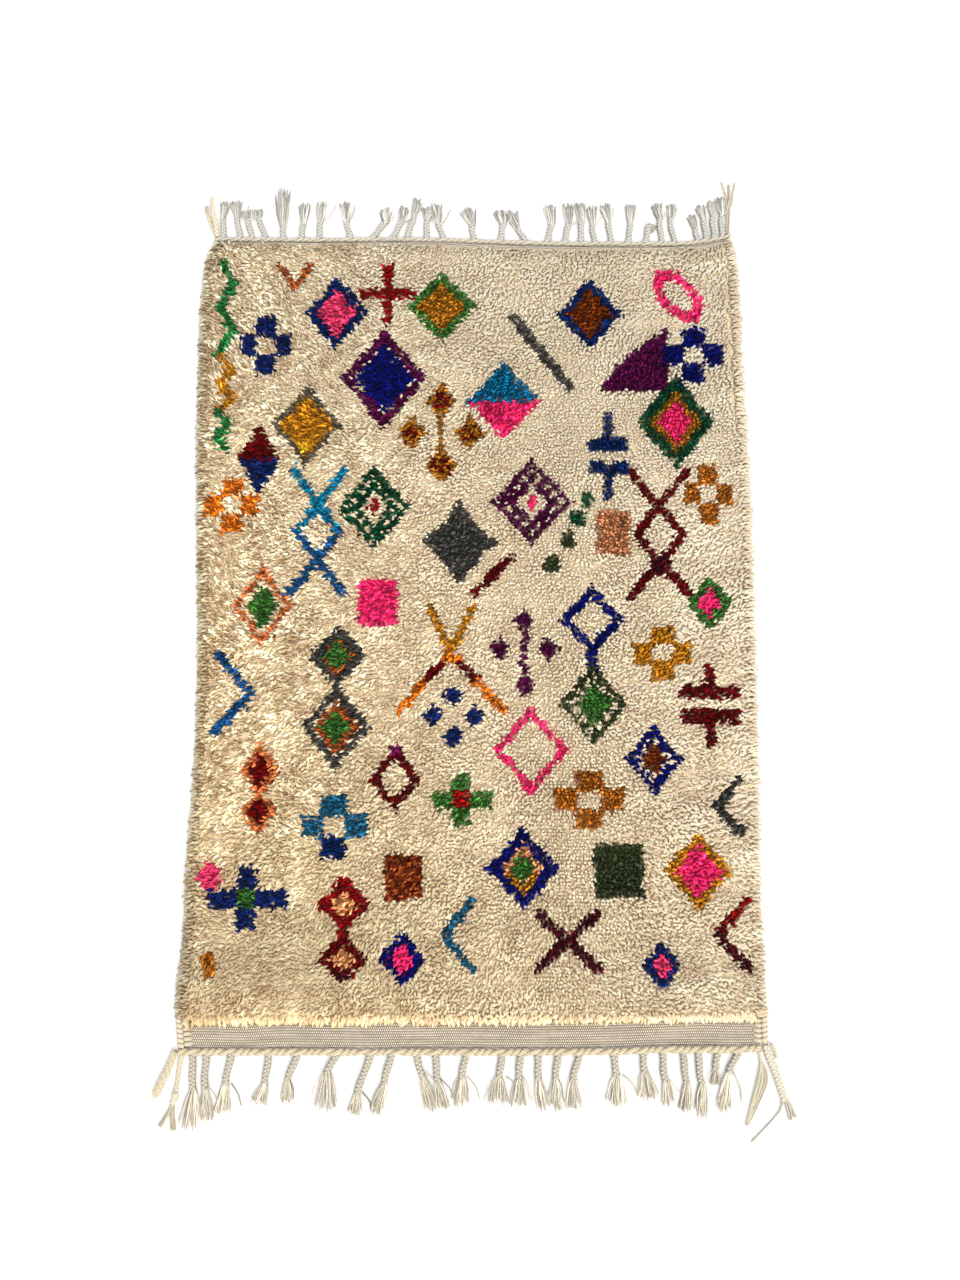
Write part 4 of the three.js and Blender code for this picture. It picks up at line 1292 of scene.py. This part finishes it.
FAR_PLAITS = np.array([
    (-474, -474, 50, -474, 84, 11), (-441, -448, 52, -452, 86, 13), (-418, -427, 46, -432, 66, 12),
    (-393, -407, 48, -411, 68, 12), (-360, -360, 30, -364, 112, 15), (-326, -321, 39, -320, 83, 11),
    (-292, -289, 45, -288, 85, 13), (-233, -241, 44, -244, 85, 13), (-194, -166, 41, -168, 72, 11),
    (-156, -135, 44, -132, 74, 11), (-128, -114, 44, -106, 91, 11), (-90, -88, 45, -89, 74, 10),
    (-57, -67, 40, -72, 82, 14), (1, -2, 38, -15, 73, 13), (49, 56, 42, 48, 73, 13),
    (99, 84, 33, 68, 72, 14), (137, 148, 42, 144, 84, 13), (171, 181, 45, 178, 89, 11),
    (201, 205, 51, 201, 91, 11), (229, 226, 45, 224, 84, 11), (259, 255, 53, 248, 89, 12),
    (290, 298, 45, 299, 87, 11), (322, 332, 43, 343, 33, 10), (355, 353, 57, 346, 89, 11),
    (380, 373, 50, 376, 88, 11), (424, 420, 34, 411, 63, 9), (439, 436, 51, 427, 81, 9),
    (454, 454, 54, 450, 88, 9), (470, 471, 51, 469, 91, 9),
], float)
print(len(NEAR_PLAITS), "plaits at the near end and", len(FAR_PLAITS), "at the far one")

# %% Plaits
PLAIT_WIDTH = 12.4
PLAIT_HEIGHT = 7.0
PLAIT_ROOT_DEPTH = 4.0
PLAIT_TURN = 20.0  # length in which a strand comes back to the same side
PLAIT_STEP = 2.1
FAR_THINNER = 0.94  # the far plaits' width, as a share of the near ones'
STRAND_SHARE = 0.46  # of a strand in the plait's width
STRAND_HEIGHT = 0.56  # of a strand in the plait's height
STRAND_LIFT = 0.24  # how far up and down a strand goes, as a share of the plait's height


def plaited(centre, width, height, turn=PLAIT_TURN, start=0.0):
    """Three strands plaited along a centre line."""
    run = run_along(centre)
    swings = [2 * np.pi * (run / turn + strand / 3) + start for strand in range(3)]
    outs = [np.sin(a) * width * (1 - STRAND_SHARE) / 2 for a in swings]
    lifts = [np.sin(2 * a) * height * STRAND_LIFT for a in swings]
    return tubes(strands_beside(centre, height, outs, lifts), width * STRAND_SHARE, height * STRAND_HEIGHT, 6)


def plait_on(row, far):
    """A plait from its root in the end cord to the head of its tassel, with a slight bend."""
    root, head, head_reach = row[:3]
    share = np.linspace(0, 1, round(head_reach / PLAIT_STEP))
    first = GAP + END_CORD_WIDTH - PLAIT_ROOT_DEPTH
    bend = 1.1 * np.sin(2 * np.pi * share) + 0.8 * rng.normal() * np.sin(np.pi * share)
    centre = along_end(root + (head - root) * share + bend, first + (head_reach - first) * share, far)
    plump = 1 + 0.06 * np.sin(share * 9 + root)
    return plaited(centre, PLAIT_WIDTH * plump * (FAR_THINNER if far else 1), PLAIT_HEIGHT, start=root)


print("a strand is", round(PLAIT_WIDTH * STRAND_SHARE, 1), "mm wide")

# %% Tassels
YARN_FLATNESS = 0.85  # a thin yarn's height, as a share of its width
TASSEL_YARNS = 22
TASSEL_SIDES = 4
TASSEL_YARN = 2.2
TASSEL_TAPER = np.array([1, 1, 1, 1, 1, 0.95, 0.6])  # a yarn's width at each of its stops
TASSEL_DEPTH = 3.0  # how far back into its plait a tassel starts
STRAY_SHARE = 0.55  # of the tassels that have a yarn lying far out
NEAR_SPREAD, FAR_SPREAD = 0.66, 0.78  # how much of a tassel's spread its yarns fill


def tassel_on(row, far):
    """The yarns of one tassel: they leave the head together, fan out and come down to the floor."""
    head, head_reach, tip, tip_reach, spread = row[1:]
    stray = rng.random() < STRAY_SHARE
    count = TASSEL_YARNS + stray
    stops = len(TASSEL_TAPER)
    t = np.linspace(0, 1, stops)
    place = np.linspace(-1, 1, count) + rng.normal(0, 0.12, count)
    reach = rng.uniform(0.80, 1.04, count) * (1 - 0.08 * place**2)
    if stray:
        place[-1] *= rng.uniform(1.5, 2.6)
        reach[-1] *= rng.uniform(0.6, 0.95)
    ahead = np.array([tip - head, tip_reach - head_reach])
    size = np.linalg.norm(ahead)
    ahead /= size
    opened = 0.30 + 0.52 * np.sin(np.pi / 2 * ramp(t * 1.5)) + 0.3 * t**3
    strays = np.cumsum(rng.normal(0, 0.5, (count, stops)), 1)
    waves = 1.2 * t * np.sin(rng.uniform(0, 6.3, (count, 1)) + rng.uniform(3, 7, (count, 1)) * t)
    out = place[:, None] * spread * (FAR_SPREAD if far else NEAR_SPREAD) * opened + strays + waves
    forward = -TASSEL_DEPTH + (size + TASSEL_DEPTH) * reach[:, None] * t
    x = head + ahead[0] * forward + ahead[1] * out
    past = head_reach + ahead[1] * forward - ahead[0] * out
    level = rng.permutation(np.linspace(0.2, 4.2, count))
    centre = along_end(x, past, far)
    centre[..., 2] = TASSEL_YARN / 2 + level[:, None] * (1 - 0.6 * t) + 0.3
    thick = TASSEL_YARN * rng.uniform(0.85, 1.15, count)[:, None] * TASSEL_TAPER
    return tubes(centre, thick, thick * YARN_FLATNESS, TASSEL_SIDES)


print("tassels have", TASSEL_YARNS, "yarns, and some have one more that strays")

# %% Both fringes and their end cords
# unshaded above this height, and how light the painted shade leaves the deepest grooves
NEAR_GROOVES, FAR_GROOVES = (1.1 * PLAIT_HEIGHT, 0.02), (PLAIT_HEIGHT, 0.16)
TASSEL_GROOVES = (4.6, 0.4)
# the far cotton is greyer than the near one
FAR_COTTON, NEAR_COTTON = np.array([0.92, 0.97, 1.09]), np.array([1.04, 1.03, 1.02])


def uneven_yarns(points):
    """Each yarn of a tassel is a little lighter or darker than the next."""
    points_a_yarn = TASSEL_SIDES * len(TASSEL_TAPER)
    yarns = np.exp(rng.normal(0, 0.26, points // points_a_yarn))
    return np.repeat(yarns, points_a_yarn)[:, None] * np.ones(3)


def fringe(far, rows):
    """All the plaits and tassels of one end, and their painted shade: deep in the plaits, light in the
    tassels.
    """
    plaits = put_together([plait_on(row, far) for row in rows])
    tassels = put_together([tassel_on(row, far) for row in rows])
    in_plaits = groove_shade(plaits[0], *(FAR_GROOVES if far else NEAR_GROOVES))
    in_tassels = groove_shade(tassels[0], *TASSEL_GROOVES) * uneven_yarns(len(tassels[0]))
    colours = np.concatenate([in_plaits, in_tassels]) * (FAR_COTTON if far else NEAR_COTTON)
    return *put_together([plaits, tassels]), colours


for far, name, rows in ((False, "near", NEAR_PLAITS), (True, "far", FAR_PLAITS)):
    points, faces, uv, colours = fringe(far, rows)
    piece(f"rug_fringe_{name}", points, faces, cotton_yarn, [f"fringe_{name}"], uv, colours)
    points, faces, uv = end_cord(far)
    material = cotton_yarn if far else cord_yarn
    # painted shade in the cord's low grooves
    colours = groove_shade(points, END_CORD_HEIGHT, 0.4)
    piece(f"rug_end_cord_{name}", points, faces, material, [f"fringe_{name}"], uv, colours)

# %% [markdown]
# ## Corner tails
# At the corners the selvedge and cord yarns run out in tails of their own: a thick twisted cord, a knotted
# tail, a long plait, a flat tuft of wool. Each is a few points listed along the tail, with its
# width and height there, and one of three ways to fill that route: twined plies, a plait or loose yarns.
# A knot is a few turns of yarn round its tail.

# %% Filling a route with yarns
TAIL_STEP = 2.2
TAIL_YARN = 2.0
KNOT_TURNS = 3


def route(rows, far):
    """A smooth centre line through a tail's points: (layout places, widths, heights)."""
    rows = np.array(rows, float)
    run = run_along(rows)
    at = np.linspace(0, run[-1], max(round(run[-1] / TAIL_STEP), 4))
    knots = np.column_stack([run, rows])
    x, past, width, height = (smooth_curve(knots, column, at) for column in (1, 2, 3, 4))
    return along_end(x, past, far), width, height


def loose_yarns(centre, width, height, count):
    """Yarns side by side, as a lock or a tassel's bunch."""
    t = np.linspace(0, 1, len(centre))
    sideways = sideways_of(centre)
    place = np.linspace(-1, 1, count) + rng.normal(0, 0.1, count)
    level = rng.permutation(np.linspace(0.1, 0.9, count))
    drift = np.cumsum(rng.normal(0, 0.16, (count, len(centre))), 1)
    out = place[:, None] * np.maximum(width - TAIL_YARN, 0.5) / 2 + drift
    z = TAIL_YARN / 2 + level[:, None] * np.maximum(height - TAIL_YARN, 0.2)
    paths = np.concatenate([centre[:, :2] + sideways * out[..., None], z[..., None]], -1)
    thick = TAIL_YARN * rng.uniform(0.85, 1.15, count)[:, None] * np.where(t > 0.97, 0.6, 1.0)
    return tubes(paths, thick, thick * YARN_FLATNESS, 4)


def wrap_knot(x, past, far, size):
    """A few turns of yarn round a tail."""
    t = np.linspace(0, KNOT_TURNS, KNOT_TURNS * 8 + 1)
    centre = along_end(np.full_like(t, x), past + (t / KNOT_TURNS - 0.5) * size * 0.8, far)
    centre[:, 0] += np.cos(2 * np.pi * t) * size * 0.36
    centre[:, 2] = size * 0.4 + np.sin(2 * np.pi * t) * size * 0.26
    return tubes(centre[None], size * 0.32, size * 0.36, 5, up=(0, 1, 0))


print("a loose yarn is", TAIL_YARN, "mm thick")

# %% The tails
# for each tail: its material, whether it is at the far end, and its strands
# for each strand: its way, the fact that this way needs, and its points (x, reach, width, height)
TAILS = {
    "corner_cord_near_left": (cord_yarn, False, [
        ("twined", 24, [(-498.3, 5, 10, 9), (-505, 28, 13, 10), (-517, 54, 15, 10), (-524, 70, 15, 9),
                        (-527, 78, 12, 7)]),
    ]),
    "corner_tail_near_left": (tail_yarn, False, [
        ("twined", 20, [(-485, 10.2, 9, 7), (-490, 40, 8, 6), (-492, 62, 8, 6), (-494, 77, 10, 8),
                        (-499, 90, 9, 6)]),
        ("loose", 7, [(-496, 82, 5, 5), (-505, 104, 6, 5), (-518, 125, 8, 3)]),
        ("loose", 8, [(-497, 82, 6, 5), (-498, 106, 8, 5), (-495, 131, 9, 3)]),
        ("knot", 12, [(-494, 77)]),
    ]),
    "corner_plait_near_right": (cotton_yarn, False, [
        ("plait", 20, [(488.5, 1.9, 11, 8), (493, 16, 14, 8), (505, 48, 14, 8), (517, 90, 12, 8)]),
        ("loose", 7, [(516, 84, 7, 5), (522, 104, 8, 5), (525, 121, 8, 3)]),
        ("loose", 6, [(518, 86, 5, 5), (528, 100, 6, 5), (534, 117, 6, 3)]),
        ("loose", 3, [(514, 86, 4, 4), (510, 104, 4, 4), (498, 118, 3, 3), (460, 154, 3, 2)]),
    ]),
    "corner_end_near_right": (tail_yarn, False, [
        ("twined", 16, [(498, 1.2, 6, 6), (504, 9, 7, 6), (507.5, 23, 6, 5)]),
    ]),
    "corner_tuft_near_right": (tail_yarn, False, [
        ("loose", 18, [(477, 10.8, 4, 5), (481, 30, 5, 6), (482, 44, 13, 7), (481, 56, 17, 7),
                       (472, 82, 14, 6), (453, 128, 4, 3)]),
    ]),
    "corner_tails_far_left": (tail_yarn, True, [
        ("twined", 18, [(-484, 11, 9, 8), (-489, 36, 11, 8), (-495, 62, 10, 8), (-498, 92, 6, 6)]),
        ("plait", 15, [(-488, 14, 6, 5), (-500, 42, 7, 5), (-506, 60, 6, 4)]),
        ("loose", 6, [(-505, 57, 5, 4), (-507, 66, 6, 4), (-508, 74, 7, 3)]),
    ]),
    "corner_tails_far_right": (tail_yarn, True, [
        ("loose", 7, [(480.8, 11, 8, 7), (483, 40, 8, 7), (485, 66, 9, 6)]),
        ("loose", 2, [(483, 60, 4, 5), (480, 92, 4, 4), (474, 120, 3, 3)]),
        ("loose", 3, [(485, 60, 4, 5), (487, 90, 5, 4), (486, 111, 4, 3)]),
        ("loose", 3, [(487, 60, 4, 5), (494, 90, 4, 4), (498, 112, 4, 3)]),
    ]),
}


def tail_part(way, fact, rows, far):
    """One strand of a tail. The fact is a twist, a plait's turn, a number of yarns or a knot's size."""
    if way == "knot":
        return wrap_knot(*rows[0], far, fact)
    centre, width, height = route(rows, far)
    if way == "twined":
        return twined(centre, width, height, fact, slack=0.3)
    if way == "plait":
        return plaited(centre, width, height, fact)
    return loose_yarns(centre, width, height, fact)


for node, (yarn, far, strands) in TAILS.items():
    points, faces, uv = put_together([tail_part(*strand, far) for strand in strands])
    # painted shade in the tail's low grooves
    colours = groove_shade(points, 0.5 * points[:, 2].max(), 0.6)
    piece("rug_" + node, points, faces, yarn, [node], uv, colours)

# %% [markdown]
# ## Finish
# The ground weave is the cloth itself: one flat sheet that lies as it was woven, with the pile, selvedges
# and fringes on it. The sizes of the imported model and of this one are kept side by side.

sizes = {"cad": cad_box, "visual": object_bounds()}
{label: [[float(v) for v in corner] for corner in box] for label, box in sizes.items()}
